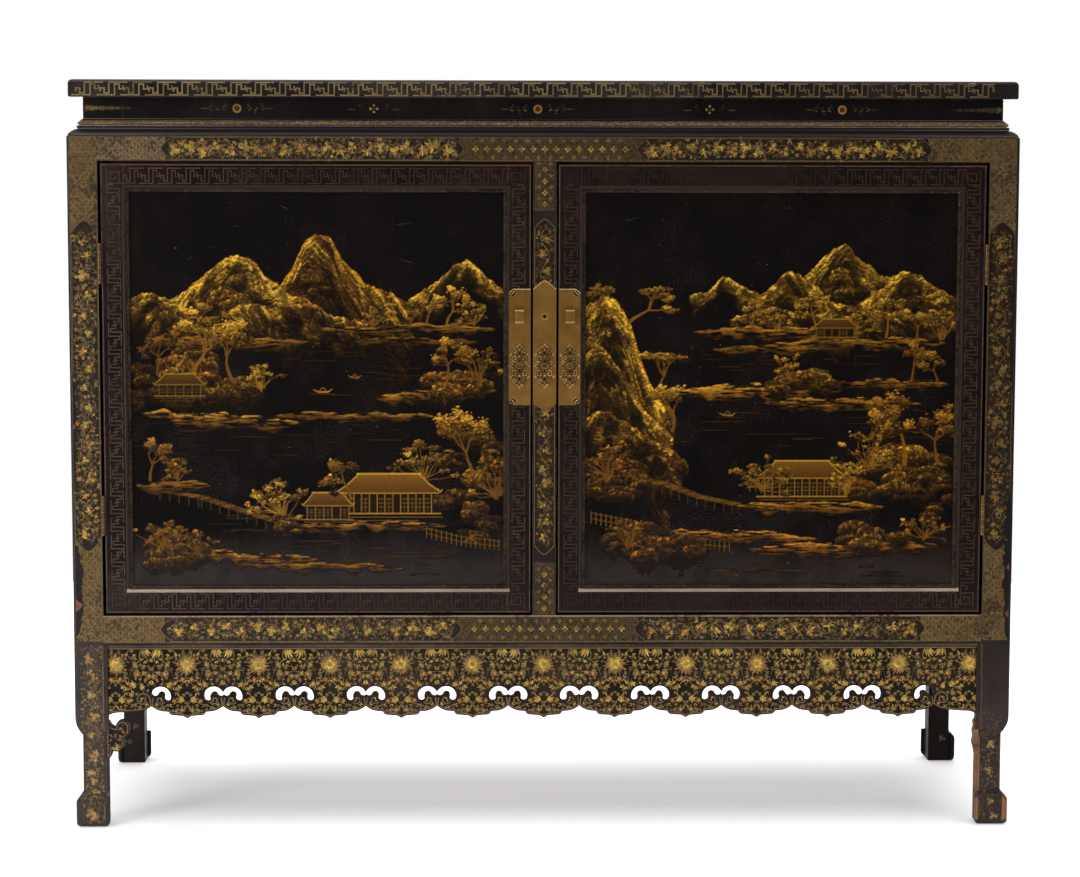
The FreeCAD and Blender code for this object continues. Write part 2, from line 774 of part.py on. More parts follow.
def door_tenon_heights():
    inner = door_member - door_groove_depth - mortise_spare
    return ((door_bottom + door_tenon_shoulder, door_bottom + inner),
            (door_top - inner, door_top - door_tenon_shoulder))


def door_stile(outer_edge, inner_edge):
    """A stile from its edge at the outside of the door to its edge at the panel."""
    x = tuple(sorted((outer_edge, inner_edge)))
    into = 1 if outer_edge > inner_edge else -1
    body = box(x, door_y, (door_bottom, door_top))
    body = rounded_edge(body, door_edge_round, x=outer_edge, y=front)
    groove_x = tuple(sorted((inner_edge, inner_edge + into * door_groove_depth)))
    mortise_x = tuple(sorted((inner_edge, inner_edge + into * (door_tenon_length + mortise_spare))))
    cutters = [box(groove_x, door_groove_y, door_groove_z)]
    cutters += [box(mortise_x, door_groove_y, z) for z in door_tenon_heights()]
    return less(body, cutters)


def hinge_stile():
    return door_stile(-door_outer, -door_outer + door_member)


def lock_stile():
    return less(door_stile(-door_inner, -door_inner - door_member), nail_holes(side_plate_centre))


def door_rail(rail):
    x = (-door_outer + door_member, -door_inner - door_member)
    is_upper = rail == "upper"
    outer_z = door_top if is_upper else door_bottom
    inner_z = outer_z - door_member if is_upper else outer_z + door_member
    body = box(x, door_y, tuple(sorted((outer_z, inner_z))))
    body = rounded_edge(body, door_edge_round, y=front, z=outer_z)
    groove_end = inner_z + door_groove_depth if is_upper else inner_z - door_groove_depth
    body = body.cut(box(x, door_groove_y, tuple(sorted((inner_z, groove_end)))))
    tenon_z = door_tenon_heights()[1 if is_upper else 0]
    left_tenon = box((x[0] - door_tenon_length, x[0]), door_groove_y, tenon_z)
    right_tenon = box((x[1], x[1] + door_tenon_length), door_groove_y, tenon_z)
    return joined([body, left_tenon, right_tenon])


def door_panel():
    reach = door_groove_depth - mortise_spare
    x = (-door_outer + door_member - reach, -door_inner - door_member + reach)
    return box(x, door_groove_y, (door_bottom + door_member - reach, door_top - door_member + reach))


def door_moulding():
    """A mitred bead round the panel, built flat and then stood up in the door."""
    half_x = (door_outer - door_inner) / 2 - door_member
    centre_x = -(door_outer + door_inner) / 2
    low, high = door_bottom + door_member, door_top - door_member
    width, height = door_moulding_width, door_moulding_height

    def section(inset):
        return ((inset(0), 0), (inset(width), 0), (inset(width), height * 0.23),
                ((inset(width * 0.82), height * 0.8), (inset(width * 0.36), height)),
                (inset(0), height))

    strips = []
    for strip in mitred_ring(half_x, low, high, width, section, 0.0, height):
        strip.rotate(Vector(0, 0, 0), Vector(1, 0, 0), 90)
        strip.translate(Vector(centre_x, front + door_panel_set_back, 0))
        strips.append(strip)
    return Part.makeCompound(strips)


# ---------------------------------------------------------------- lock plates
def nail_points(centre_x):
    """Where the nails of the plate centred at centre_x meet its face."""
    half_width_of_plate = (side_plate_width if centre_x else centre_plate_width) / 2
    out = half_width_of_plate - nail_margin
    offsets = ((-out, nail_rise), (out, nail_rise), (-out, -nail_rise), (out, -nail_rise),
               (0.0, end_nail_rise), (0.0, -end_nail_rise))
    return [Vector(centre_x + across, plate_face, side_plate_bottom + ornament_rise + rise)
            for across, rise in offsets]


def nail_holes(centre_x):
    """Holes for the nails that hold the plate centred at centre_x."""
    holes = []
    for at in nail_points(centre_x):
        depth = plate_thickness + nail_shank_length + mortise_spare
        holes.append(Part.makeCylinder(nail_shank_radius + nail_fit, depth, at, Vector(0, 1, 0)))
    return holes


def plate_nails(centre_x):
    """Round-headed nails driven through a plate into the wood."""
    nails = []
    sphere_radius = (nail_head_radius ** 2 + nail_head_height ** 2) / (2 * nail_head_height)
    for at in nail_points(centre_x):
        cap_centre = at + Vector(0, sphere_radius - nail_head_height, 0)
        cap = Part.makeSphere(sphere_radius, cap_centre)
        slab = Part.makeBox(2 * sphere_radius, nail_head_height, 2 * sphere_radius,
                            at - Vector(sphere_radius, nail_head_height, sphere_radius))
        shank = Part.makeCylinder(nail_shank_radius, plate_thickness + nail_shank_length, at, Vector(0, 1, 0))
        nails.append(joined([cap.common(slab), shank]))
    return Part.makeCompound(nails)


def side_lock_plate():
    """The plate on the left door: its outer corners are chamfered and pierced with small crescents."""
    right = side_plate_centre + side_plate_width / 2
    left = right - side_plate_width
    low, high = side_plate_bottom, side_plate_bottom + side_plate_height
    steps = ((left + plate_chamfer, low), (right, low), (right, high), (left + plate_chamfer, high),
             (left, high - plate_chamfer), (left, low + plate_chamfer))
    plate = extruded("xz", steps, plate_face, front)
    cutters = []
    for corner_z, facing in ((low + corner_slot_place, 225), (high - corner_slot_place, 135)):
        for turn in (-75, 75):
            arc = (facing + turn - 35, facing + turn + 35)
            slot = arc_slot(left + corner_slot_place, corner_z, corner_slot_radius, corner_slot_width, *arc)
            cutters.append(extruded("xz", slot, plate_face - 1, front + 1))
    return less(plate, cutters + nail_holes(side_plate_centre))


def centre_lock_plate():
    half = centre_plate_width / 2
    low, high = side_plate_bottom + centre_plate_lift, side_plate_bottom + side_plate_height

    def above(share, rise):
        return (half * share, high + centre_plate_tip * rise)

    def below(share, drop):
        return (half * share, low - centre_plate_point * drop)

    steps = (above(1, 0), (above(0.84, 0.2), above(0.62, 0.34)),
             (above(0.5, 0.62), above(0.3, 0.84)),
             (above(0.14, 0.95), above(0, 1)),
             (above(-0.14, 0.95), above(-0.3, 0.84)),
             (above(-0.5, 0.62), above(-0.62, 0.34)),
             (above(-0.84, 0.2), above(-1, 0)),
             below(-1, 0), (below(-0.72, 0.36), below(-0.4, 0.62)),
             below(0, 1),
             below(0.4, 0.62), (below(0.72, 0.36), below(1, 0)))
    plate = extruded("xz", steps, plate_face, front)
    hole = Part.makeCylinder(staple_hole_radius, plate_thickness + 2,
                             Vector(0, plate_face - 1, side_plate_bottom + staple_rise), Vector(0, 1, 0))
    return less(plate, [hole] + nail_holes(0.0))


def staple():
    """The strap loop on the left door, open from side to side for the bolt of a padlock."""
    centre_x = side_plate_centre
    low = side_plate_bottom + staple_rise - staple_height / 2
    high = low + staple_height
    tip = plate_face - staple_reach
    bend = staple_reach * 0.45
    steps = ((plate_face, low), (plate_face, high), (tip + bend, high),
             corner_arc((tip + bend, high), (tip, high), (tip, high - bend)),
             (tip, low + bend),
             corner_arc((tip, low + bend), (tip, low), (tip + bend, low)))
    x = (centre_x - staple_width / 2, centre_x + staple_width / 2)
    loop = extruded("yz", steps, *x)
    eye = box(x, (tip + staple_wire, plate_face), (low + staple_wire, high - staple_wire))
    return loop.cut(eye)


# ---------------------------------------------------------------- hinges, modelled on the left
def hinge_centres():
    door_middle = (door_bottom + door_top) / 2
    return (door_middle - hinge_offset, door_middle + hinge_offset)


def knuckle_heights(centre, moving):
    """The bottom and top of each knuckle of one leaf."""
    pitch = hinge_height / hinge_knuckles
    low = centre - hinge_height / 2
    return [(low + index * pitch + knuckle_gap / 2, low + (index + 1) * pitch - knuckle_gap / 2)
            for index in range(hinge_knuckles) if (index % 2 == 1) == moving]


def hinge_leaf(centre, moving):
    """A leaf in the gap beside the door, with its knuckles in front of the case."""
    half_gap = door_gap_outer / 2
    x = (hinge_x + half_gap - leaf_thickness, hinge_x + half_gap)
    if not moving:
        x = (hinge_x - half_gap, hinge_x - half_gap + leaf_thickness)
    low, high = centre - hinge_height / 2, centre + hinge_height / 2
    pieces = [box(x, (front + knuckle_gap, front + leaf_depth), (low, high))]
    for z in knuckle_heights(centre, moving):
        pieces.append(box(x, (hinge_y, front + leaf_depth), z))
        pieces.append(Part.makeCylinder(knuckle_radius, z[1] - z[0], Vector(hinge_x, hinge_y, z[0])))
    bore = Part.makeCylinder(pin_radius + pin_fit, hinge_height, Vector(hinge_x, hinge_y, low))
    return joined(pieces).cut(bore)


def hinge_leaves(moving):
    return Part.makeCompound([hinge_leaf(centre, moving) for centre in hinge_centres()])


def post_leaves():
    left = [hinge_leaf(centre, False) for centre in hinge_centres()]
    return Part.makeCompound(left + [to_right(leaf) for leaf in left])


def hinge_pins():
    pins = []
    for centre in hinge_centres():
        low = centre - hinge_height / 2
        shank = Part.makeCylinder(pin_radius, hinge_height, Vector(hinge_x, hinge_y, low))
        lower_head = Part.makeCylinder(pin_head_radius, pin_head_height,
                                       Vector(hinge_x, hinge_y, low - pin_head_height))
        upper_head = Part.makeCylinder(pin_head_radius, pin_head_height,
                                       Vector(hinge_x, hinge_y, low + hinge_height))
        pins.append(joined([shank, lower_head, upper_head]))
    return Part.makeCompound(pins + [to_right(pin) for pin in pins])


# ---------------------------------------------------------------- all the pieces
def cabinet():
    parts = {
        "top_frame": top_frame(),
        "top_panel": top_panel(),
        "neck_boards": neck_boards(),
        "waist_moulding": waist_moulding(),
        "post_front_left": post(False),
        "post_front_right": to_right(post(False)),
        "post_back_left": post(True),
        "post_back_right": to_right(post(True)),
        "front_upper_rail": long_rail("upper", False),
        "front_lower_rail": long_rail("lower", False),
        "back_upper_rail": long_rail("upper", True),
        "back_lower_rail": long_rail("lower", True),
        "left_upper_rail": end_rail("upper"),
        "left_lower_rail": end_rail("lower"),
        "right_upper_rail": to_right(end_rail("upper")),
        "right_lower_rail": to_right(end_rail("lower")),
        "centre_muntin": centre_muntin(),
        "back_muntin": back_muntin(),
        "left_end_panel": end_panel(),
        "right_end_panel": to_right(end_panel()),
        "back_panel_left": back_panel(),
        "back_panel_right": to_right(back_panel()),
        "floor_board": floor_board(),
        "floor_battens": floor_battens(),
        "shelf": shelf(),
        "shelf_bearers": shelf_bearers(),
        "door_stops": door_stops(),
        "front_apron": front_apron(),
        "back_apron": back_apron(),
        "left_apron": end_apron(),
        "right_apron": to_right(end_apron()),
        "bead_strips": bead_strips(),
        "front_scroll_bracket": front_bracket(),
        "end_scroll_brackets": end_brackets(),
        "broken_bracket_stub": bracket_stub(),
        "centre_lock_plate": centre_lock_plate(),
        "centre_plate_nails": plate_nails(0.0),
        "hinge_post_leaves": post_leaves(),
        "hinge_pins": hinge_pins(),
    }
    left_door = {
        "hinge_stile": hinge_stile(),
        "lock_stile": lock_stile(),
        "upper_rail": door_rail("upper"),
        "lower_rail": door_rail("lower"),
        "panel": door_panel(),
        "panel_moulding": door_moulding(),
        "hinge_leaves": hinge_leaves(True),
        "lock_plate": side_lock_plate(),
        "plate_nails": plate_nails(side_plate_centre),
        "staple": staple(),
    }
    for name, shape in left_door.items():
        parts["left_door_" + name] = shape
        parts["right_door_" + name] = to_right(shape)
    return parts


os.makedirs("parts", exist_ok=True)
for node, shape in cabinet().items():
    shape.exportStep("parts/" + node + ".step")
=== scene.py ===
import bpy
import math
import random
import numpy as np
from mathutils import Matrix, Vector
from mathutils.bvhtree import BVHTree


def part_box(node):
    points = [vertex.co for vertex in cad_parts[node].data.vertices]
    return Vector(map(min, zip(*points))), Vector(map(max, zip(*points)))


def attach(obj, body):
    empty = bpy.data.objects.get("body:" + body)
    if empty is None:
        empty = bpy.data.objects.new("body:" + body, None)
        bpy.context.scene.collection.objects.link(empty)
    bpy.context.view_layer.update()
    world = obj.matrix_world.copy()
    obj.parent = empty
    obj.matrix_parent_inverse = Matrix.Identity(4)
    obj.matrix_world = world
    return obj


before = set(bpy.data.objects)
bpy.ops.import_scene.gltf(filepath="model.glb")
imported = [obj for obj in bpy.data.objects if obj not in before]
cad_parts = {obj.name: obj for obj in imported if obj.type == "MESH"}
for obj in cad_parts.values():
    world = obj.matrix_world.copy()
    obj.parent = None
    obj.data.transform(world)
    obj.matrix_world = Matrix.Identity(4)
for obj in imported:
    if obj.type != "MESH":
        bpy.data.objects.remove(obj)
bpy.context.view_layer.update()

MM = 0.001
TAU = 2 * math.pi


# ---------------------------------------------------------------- sizes, in millimetres
def span(node):
    """The x, y and z ranges of a CAD node."""
    low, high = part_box(node)
    return [(low[i] / MM, high[i] / MM) for i in range(3)]


FRONT, BACK = span("front_upper_rail")[1][0], span("back_upper_rail")[1][1]
MIDDLE_Y = (FRONT + BACK) / 2
HALF, POST_IN = span("post_front_right")[0][1], span("front_apron")[0][1]
POST_MIDDLE = 626.0
BACK_POST_FACE = span("post_back_left")[1][0]
OPEN_TOP, CASE_TOP = span("front_upper_rail")[2]
RAIL_LOW, OPEN_LOW = span("front_lower_rail")[2]
MIDDLE_Z = (OPEN_LOW + OPEN_TOP) / 2
POST_LATTICES = ((262.0, 404.0), (826.0, CASE_TOP - 1.5))
APRON_FACE = span("front_apron")[1][0]
LOBE = 99.0
NECK_FACE, NECK_HALF, NECK_MIDDLE_Z = span("neck_boards")[1][0], span("neck_boards")[0][1], 994.5
TOP_LOW, TOP_HIGH = span("top_frame")[2]
TOP_FACE, TOP_HALF = span("top_frame")[1][0], span("top_frame")[0][1]
MUNTIN_HALF = 16.3
PLATE_FACE, PLATE_MIDDLE_Z = span("centre_lock_plate")[1][0], 644.0
DOOR_IN, DOOR_OUT = span("right_door_lock_stile")[0][0], span("right_door_hinge_stile")[0][1]
DOOR_LOW, DOOR_HIGH = span("right_door_hinge_stile")[2]
MOULD_X, MOULD_Z = span("right_door_panel_moulding")[0], span("right_door_panel_moulding")[2]
PANEL_Y = span("right_door_panel")[1][0]
DOORS = ((-1, "left_door"), (1, "right_door"))


def add_object(name, data):
    obj = bpy.data.objects.new(name, data)
    bpy.context.scene.collection.objects.link(obj)
    return obj


def add_piece(mesh, body, material, slot="gold_lacquer", paint=None):
    """Makes a mesh a piece of a body; paint holds each point's linear colour and how metallic it is."""
    if paint is not None:
        layer = mesh.attributes.new("paint", "FLOAT_COLOR", "POINT")
        layer.data.foreach_set("color", paint.astype(np.float32).ravel())
    mesh.materials.append(material)
    obj = add_object(mesh.name, mesh)
    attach(obj, body)


# ---------------------------------------------------------------- materials
def linear(shown):
    """Display values from 0 to 1 as linear ones."""
    return np.where(shown <= 0.04045, shown / 12.92, ((shown + 0.055) / 1.055) ** 2.4)


def srgb(r, g, b):
    """A colour given in display values from 0 to 255."""
    return (*linear(np.array((r, g, b)) / 255).tolist(), 1.0)


class Nodes:
    """Short calls for the nodes of a tree."""

    def __init__(self, tree):
        self.tree = tree
        tree.nodes.clear()

    def node(self, kind, inputs=(), **props):
        """A new node; inputs gives its sockets, by name or number, a value or the output to link."""
        made = self.tree.nodes.new(kind)
        for key, value in props.items():
            setattr(made, key, value)
        for key, value in dict(inputs).items():
            if isinstance(value, bpy.types.NodeSocket):
                self.tree.links.new(value, made.inputs[key])
            else:
                made.inputs[key].default_value = value
        return made


class Mat(Nodes):
    """A material whose patterns lie in object coordinates, in metres."""

    def __init__(self, name):
        self.mat = bpy.data.materials.new(name)
        self.mat.use_nodes = True
        super().__init__(self.mat.node_tree)
        self.coord = self.node("ShaderNodeTexCoord").outputs["Object"]

    def scaled(self, scale, turn=(0, 0, 0)):
        inputs = {"Vector": self.coord, "Scale": scale, "Rotation": turn}
        return self.node("ShaderNodeMapping", inputs).outputs[0]

    def noise(self, scale, detail=4.0, rough=0.55, vector=None, distortion=0.0):
        inputs = {"Vector": vector or self.coord, "Scale": scale, "Detail": detail, "Roughness": rough,
                  "Distortion": distortion}
        return self.node("ShaderNodeTexNoise", inputs).outputs["Fac"]

    def ramp(self, value, low, high, a=0.0, b=1.0):
        inputs = {"Value": value, "From Min": low, "From Max": high, "To Min": a, "To Max": b}
        return self.node("ShaderNodeMapRange", inputs, interpolation_type="SMOOTHSTEP").outputs["Result"]

    def math(self, kind, a, b=0.0):
        return self.node("ShaderNodeMath", {0: a, 1: b}, operation=kind).outputs[0]

    def times(self, a, b):
        return self.math("MULTIPLY", a, b)

    def plus(self, a, b):
        return self.math("ADD", a, b)

    def mix(self, factor, a, b, blend="MIX"):
        inputs = {0: factor, 6: a, 7: b}
        return self.node("ShaderNodeMix", inputs, data_type="RGBA", blend_type=blend).outputs[2]

    def tint(self, a, b):
        return self.mix(1.0, a, b, "MULTIPLY")

    def axis(self, letter):
        return self.node("ShaderNodeSeparateXYZ", {0: self.coord}).outputs[letter]

    def across(self, left, right):
        """A value that changes from the cabinet's left end to its right end."""
        return self.ramp(self.axis("X"), -HALF * MM, HALF * MM, left, right)

    def edge(self, radius):
        """Near 1 along convex and concave edges, 0 on flat faces."""
        bevel = self.node("ShaderNodeBevel", {"Radius": radius}, samples=4)
        inputs = {0: bevel.outputs[0], 1: self.node("ShaderNodeNewGeometry").outputs["Normal"]}
        dot = self.node("ShaderNodeVectorMath", inputs, operation="DOT_PRODUCT")
        return self.ramp(dot.outputs["Value"], 0.995, 0.80)

    def surface(self, color, rough, spec, bump=None, metal=0.0, glow=0.0):
        """Ends the material and returns it.

        bump is (height, strength, distance in metres), and glow the strength of the white light it gives off.
        """
        inputs = {"Base Color": color, "Roughness": rough, "Specular IOR Level": spec, "Metallic": metal,
                  "Emission Color": (1, 1, 1, 1), "Emission Strength": glow}
        if bump:
            height = dict(zip(("Height", "Strength", "Distance"), bump))
            inputs["Normal"] = self.node("ShaderNodeBump", height).outputs[0]
        shader = self.node("ShaderNodeBsdfPrincipled", inputs)
        self.node("ShaderNodeOutputMaterial", {0: shader.outputs[0]})
        return self.mat


def lacquer(name, deep, haze, haze_amount, rough, wear=0.5, spec=0.4, low=None, low_z=(0.27, 0.15)):
    """Aged lacquer: haze, fine craquelure, scratches, and edges rubbed to the brown ground.
    The haze is stronger towards the left end: painted light, as if lit from the left.

    A colour for low is mixed in, in patches, towards the floor, from none to full between the
    heights in low_z.
    """
    m = Mat(name)
    cloud = m.ramp(m.noise(7.0, 6.0, 0.6), 0.38, 0.72)
    streak = m.ramp(m.noise(60.0, 5.0, 0.7, m.scaled((1, 1, 0.12))), 0.45, 0.75)
    gloss = m.plus(m.times(cloud, 0.6), m.times(streak, 0.4))
    gloss = m.ramp(gloss, 0.0, 1.0, rough - 0.07, rough + 0.13)
    # painted light: the haze is mixed in more strongly towards the left end, as if lit from the left
    color = m.mix(m.times(cloud, m.across(haze_amount, haze_amount * 0.55)), deep, haze)
    if low:
        near = m.ramp(m.axis("Z"), *low_z)
        color = m.mix(m.times(near, m.ramp(m.noise(22.0, 5.0, 0.65), 0.25, 0.62)), color, low)
        gloss = m.plus(gloss, m.times(near, 0.22))
    cells = m.node("ShaderNodeTexVoronoi", {"Vector": m.coord, "Scale": 260.0}, feature="DISTANCE_TO_EDGE")
    crack = m.times(m.ramp(cells.outputs["Distance"], 0.0, 0.06, 1.0, 0.0), m.ramp(m.noise(16.0), 0.45, 0.65))
    scratch = m.ramp(m.noise(900.0, 2.0, 0.5, m.scaled((1, 1, 0.02), (0.3, 0.5, 0.2))), 0.70, 0.78)
    edges = m.edge(0.0016)
    rub = m.times(edges, m.ramp(m.noise(45.0, 6.0, 0.7), 0.42, 0.60))
    chips = m.times(edges, m.ramp(m.noise(150.0, 3.0, 0.6), 0.66, 0.70))
    specks = m.ramp(m.noise(420.0, 2.0, 0.5), 0.765, 0.80)
    for place, amount, mark in ((crack, 0.25, srgb(72, 54, 46)), (scratch, 0.10, srgb(120, 104, 92)),
                                (rub, wear, srgb(118, 84, 58)), (chips, wear, srgb(150, 92, 62)),
                                (specks, 0.5, srgb(112, 98, 86))):
        color = m.mix(m.times(place, amount), color, mark)
    ripple = m.plus(m.noise(28.0, 3.0), m.times(crack, -0.25))
    return m.surface(color, m.plus(gloss, m.times(rub, 0.2)), m.across(spec, spec * 0.4),
                     (ripple, 0.25, 0.0006))


CASE_LACQUER = lacquer("case_lacquer", srgb(25, 20, 19), srgb(56, 45, 38), 0.8, 0.34, 0.55, 0.26,
                       srgb(50, 41, 40))
DOOR_LACQUER = lacquer("door_frame_lacquer", srgb(22, 15, 13), srgb(42, 30, 25), 0.8, 0.30, 0.5, 0.13)
PANEL_LACQUER = lacquer("panel_lacquer", srgb(12, 9, 9), srgb(20, 14, 13), 0.5, 0.16, 0.3, 0.30,
                        srgb(38, 29, 24), (0.43, 0.335))
NECK_LACQUER = lacquer("neck_lacquer", srgb(16, 13, 13), srgb(34, 28, 26), 0.6, 0.32, 0.4, 0.25)
LEG_LACQUER = lacquer("leg_lacquer", srgb(28, 22, 20), srgb(62, 48, 39), 0.8, 0.60, 0.6, 0.03)
REAR_LACQUER = lacquer("rear_post_lacquer", srgb(25, 20, 19), srgb(56, 45, 38), 0.8, 0.46, 0.55, 0.08)
BACK_LACQUER = lacquer("back_lacquer", srgb(34, 26, 23), srgb(64, 50, 42), 0.85, 0.48, 0.6, 0.3)


def moulding_material(name, deep, light, crest, bead=None, end_highlight=1.0, spec=0.32):
    """Brown lacquer rubbed on its crests, with the remains of gold.

    bead is the height and the half width of one paler band, in metres: a rubbed bead on the waist
    moulding, and a painted highlight along the bottom run of the sight beads. end_highlight is how much
    paler the crests are at the cabinet's two ends than in its middle: a painted highlight there.
    """
    m = Mat(name)
    worn = m.ramp(m.noise(30.0, 6.0, 0.65, m.scaled((0.35, 0.35, 1.0))), 0.35, 0.66)
    flecks = m.times(m.ramp(m.noise(330.0, 3.0, 0.6), 0.50, 0.62), 0.3)
    fleck_color = srgb(104, 84, 56)
    # on the sight beads this band is a painted highlight along the bottom run; on the waist moulding it is
    # rubbed gold
    if bead:
        away = m.math("ABSOLUTE", m.math("SUBTRACT", m.axis("Z"), bead[0]))
        crown = m.ramp(away, bead[1], bead[1] * 0.75)
        worn = m.times(crown, m.plus(m.times(worn, 0.4), 0.6))
        flecks = m.times(m.times(flecks, crown), 2.6)
        fleck_color = srgb(142, 118, 78)
    color = m.mix(flecks, m.mix(worn, deep, light), fleck_color)
    # painted highlight: the crests grow paler towards both ends by end_highlight
    ends = m.ramp(m.math("ABSOLUTE", m.axis("X")), 0.30, 0.64, 1.0, end_highlight)
    color = m.mix(m.times(m.edge(0.0014), m.times(ends, crest)), color, m.tint(srgb(128, 114, 98), ends))
    rough = m.ramp(worn, 0.0, 1.0, 0.30, 0.44)
    return m.surface(color, rough, m.across(spec, spec * 0.45), (m.noise(60.0, 4.0), 0.2, 0.0005))


# crests paler at both ends (2.1): painted highlight
MOULDING = moulding_material("waist_moulding_lacquer", srgb(24, 18, 24), srgb(88, 71, 52), 0.36,
                             (0.9742, 0.0046), 2.1)
BEAD_LACQUER = moulding_material("bead_lacquer", srgb(34, 27, 25), srgb(66, 54, 45), 0.35)
SIGHT_MOULDING = moulding_material("sight_moulding_lacquer", srgb(18, 13, 12), srgb(46, 36, 28), 0.34,
                                   spec=0.10)
# the bottom run, at the bead height, is pale: a painted highlight where the bead faces the light above
SIGHT_BEAD = moulding_material("sight_bead_lacquer", srgb(40, 33, 27), srgb(150, 136, 122), 0.42,
                               (0.3315, 0.0048), spec=0.16)


def brass_material(name, base, light, dark, rough):
    """Brushed brass with stains, bright along its edges."""
    m = Mat(name)
    stain = m.ramp(m.noise(120.0, 5.0, 0.7), 0.52, 0.72)
    color = m.mix(m.ramp(m.noise(38.0, 5.0, 0.6), 0.32, 0.70), base, light)
    color = m.mix(m.times(stain, 0.55), color, dark)
    color = m.mix(m.times(m.edge(0.0009), 0.55), color, srgb(222, 198, 150))
    brushed = m.noise(700.0, 2.0, 0.5, m.scaled((0.08, 1, 1)))
    height = m.plus(m.times(brushed, 0.4), m.noise(90.0, 4.0))
    return m.surface(color, m.ramp(stain, 0.0, 1.0, rough, rough + 0.22), 0.5, (height, 0.22, 0.0004), 0.82)


BRASS = brass_material("plate_brass", srgb(150, 108, 46), srgb(170, 126, 62), srgb(104, 72, 32), 0.34)
OLD_BRASS = brass_material("hinge_brass", srgb(84, 62, 36), srgb(112, 84, 50), srgb(48, 34, 24), 0.42)


def wood_material(name, dark, light, rough):
    """Plain wood with dark pores and a little dust."""
    m = Mat(name)
    grain = m.noise(26.0, 6.0, 0.62, m.scaled((0.35, 5.0, 5.0)), 0.6)
    pores = m.ramp(m.noise(420.0, 2.0, 0.5, m.scaled((0.05, 1.2, 1.2))), 0.60, 0.72)
    dust = m.ramp(m.noise(9.0, 5.0, 0.6), 0.45, 0.75)
    color = m.mix(m.ramp(grain, 0.30, 0.70), dark, light)
    color = m.mix(m.times(pores, 0.4), color, dark)
    color = m.mix(m.times(dust, 0.18), color, srgb(120, 100, 84))
    height = m.plus(grain, m.times(pores, -0.5))
    return m.surface(color, m.ramp(grain, 0.2, 0.8, rough, rough + 0.15), 0.3, (height, 0.3, 0.0004))


INNER_WOOD = wood_material("inner_wood", srgb(62, 30, 22), srgb(96, 50, 34), 0.5)
BARE_WOOD = wood_material("bare_wood", srgb(56, 40, 32), srgb(122, 86, 58), 0.65)


def relief_material():
    """Chased brass: each stroke's own colour with tarnish in it."""
    m = Mat("chased_brass")
    own = m.node("ShaderNodeAttribute", attribute_name="paint").outputs["Color"]
    stain = m.ramp(m.noise(160.0, 5.0, 0.7), 0.40, 0.72, 1.12, 0.55)
    rough = m.ramp(m.noise(90.0, 4.0), 0.3, 0.7, 0.28, 0.50)
    return m.surface(m.tint(own, stain), rough, 0.5, (m.noise(600.0, 3.0), 0.2, 0.0002), 0.75)


def gold_material(name, fade, fine, metal=0.45, rough=0.42, ground=srgb(38, 31, 28), floor_rough=0.38,
                  spec=0.26, fall=1.0):
    """Painted decoration, coloured by its strokes; rubbing lets the ground show, more so with a smaller fade.

    fine is the scale of the rubbed spots, floor_rough the roughness where no gold is left, and fall how
    bright the colours are at the right end: painted shade that darkens them towards the right, as if lit
    from the left.
    """
    m = Mat(name)
    paint = m.node("ShaderNodeAttribute", attribute_name="paint")
    strength = paint.outputs["Alpha"]
    color = m.tint(paint.outputs["Color"], m.ramp(m.noise(950.0, 3.0, 0.6), 0.30, 0.68, 0.62, 1.18))
    hue = m.ramp(m.noise(60.0, 3.0, 0.5), 0.38, 0.66)
    color = m.mix(m.times(hue, 0.25), color, m.tint(color, (1.0, 0.80, 0.62, 1.0)))
    rubbed = m.plus(m.times(m.noise(14.0, 5.0, 0.62), 0.62), m.times(m.noise(fine, 3.0, 0.6), 0.38))
    lost = m.times(m.ramp(rubbed, fade - 0.07, fade + 0.07), m.ramp(strength, 0.0, 1.0, 1.0, 0.86))
    # painted shade: the colours darken towards the right end by fall, as if lit from the left
    color = m.tint(m.mix(lost, color, ground), m.across(1.0, fall))
    sheen = m.times(strength, m.math("SUBTRACT", 1.0, lost))
    return m.surface(color, m.ramp(sheen, 0.0, 1.0, floor_rough, rough), m.across(spec, spec * 0.4),
                     (m.noise(500.0, 3.0), 0.15, 0.0002), m.times(sheen, metal))


RELIEF = relief_material()
GOLD = gold_material("gold_paint", 0.60, 260.0)
# fall 0.82: painted shade towards the right end
GOLD_WORN = gold_material("gold_paint_worn", 0.57, 200.0, spec=0.17, fall=0.82)
BARE_PAINT = gold_material("rubbed_leg_face", 0.74, 260.0, 0.0, 0.95, srgb(58, 42, 34), 0.95, 0.02)
GOLD_SHEET = gold_material("gold_wash", 0.70, 300.0, 0.30, 0.40, srgb(20, 15, 13), 0.20)

# Each CAD node takes the first finish whose words are in its name, or the case's lacquer.
FINISHES = (
    (("hinge_leaves", "hinge_post_leaves", "hinge_pins"), OLD_BRASS),
    (("lock_plate", "plate_nails", "staple"), BRASS),
    (("broken_bracket_stub",), BARE_WOOD),
    (("floor_board", "floor_battens", "shelf", "door_stops"), INNER_WOOD),
    (("panel_moulding",), SIGHT_MOULDING),
    (("bead_strips",), BEAD_LACQUER),
    (("waist_moulding",), MOULDING),
    (("neck_boards",), NECK_LACQUER),
    (("door_panel",), PANEL_LACQUER),
    (("stile", "door_upper_rail", "door_lower_rail"), DOOR_LACQUER),
    (("back_panel", "back_muntin", "back_upper_rail", "back_lower_rail", "back_apron"), BACK_LACQUER),
    (("apron", "bracket"), LEG_LACQUER),
    (("post_back",), REAR_LACQUER),
    (("",), CASE_LACQUER),
)
for name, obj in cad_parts.items():
    finish = next(material for words, material in FINISHES if any(word in name for word in words))
    for place in obj.material_slots:
        place.material = finish

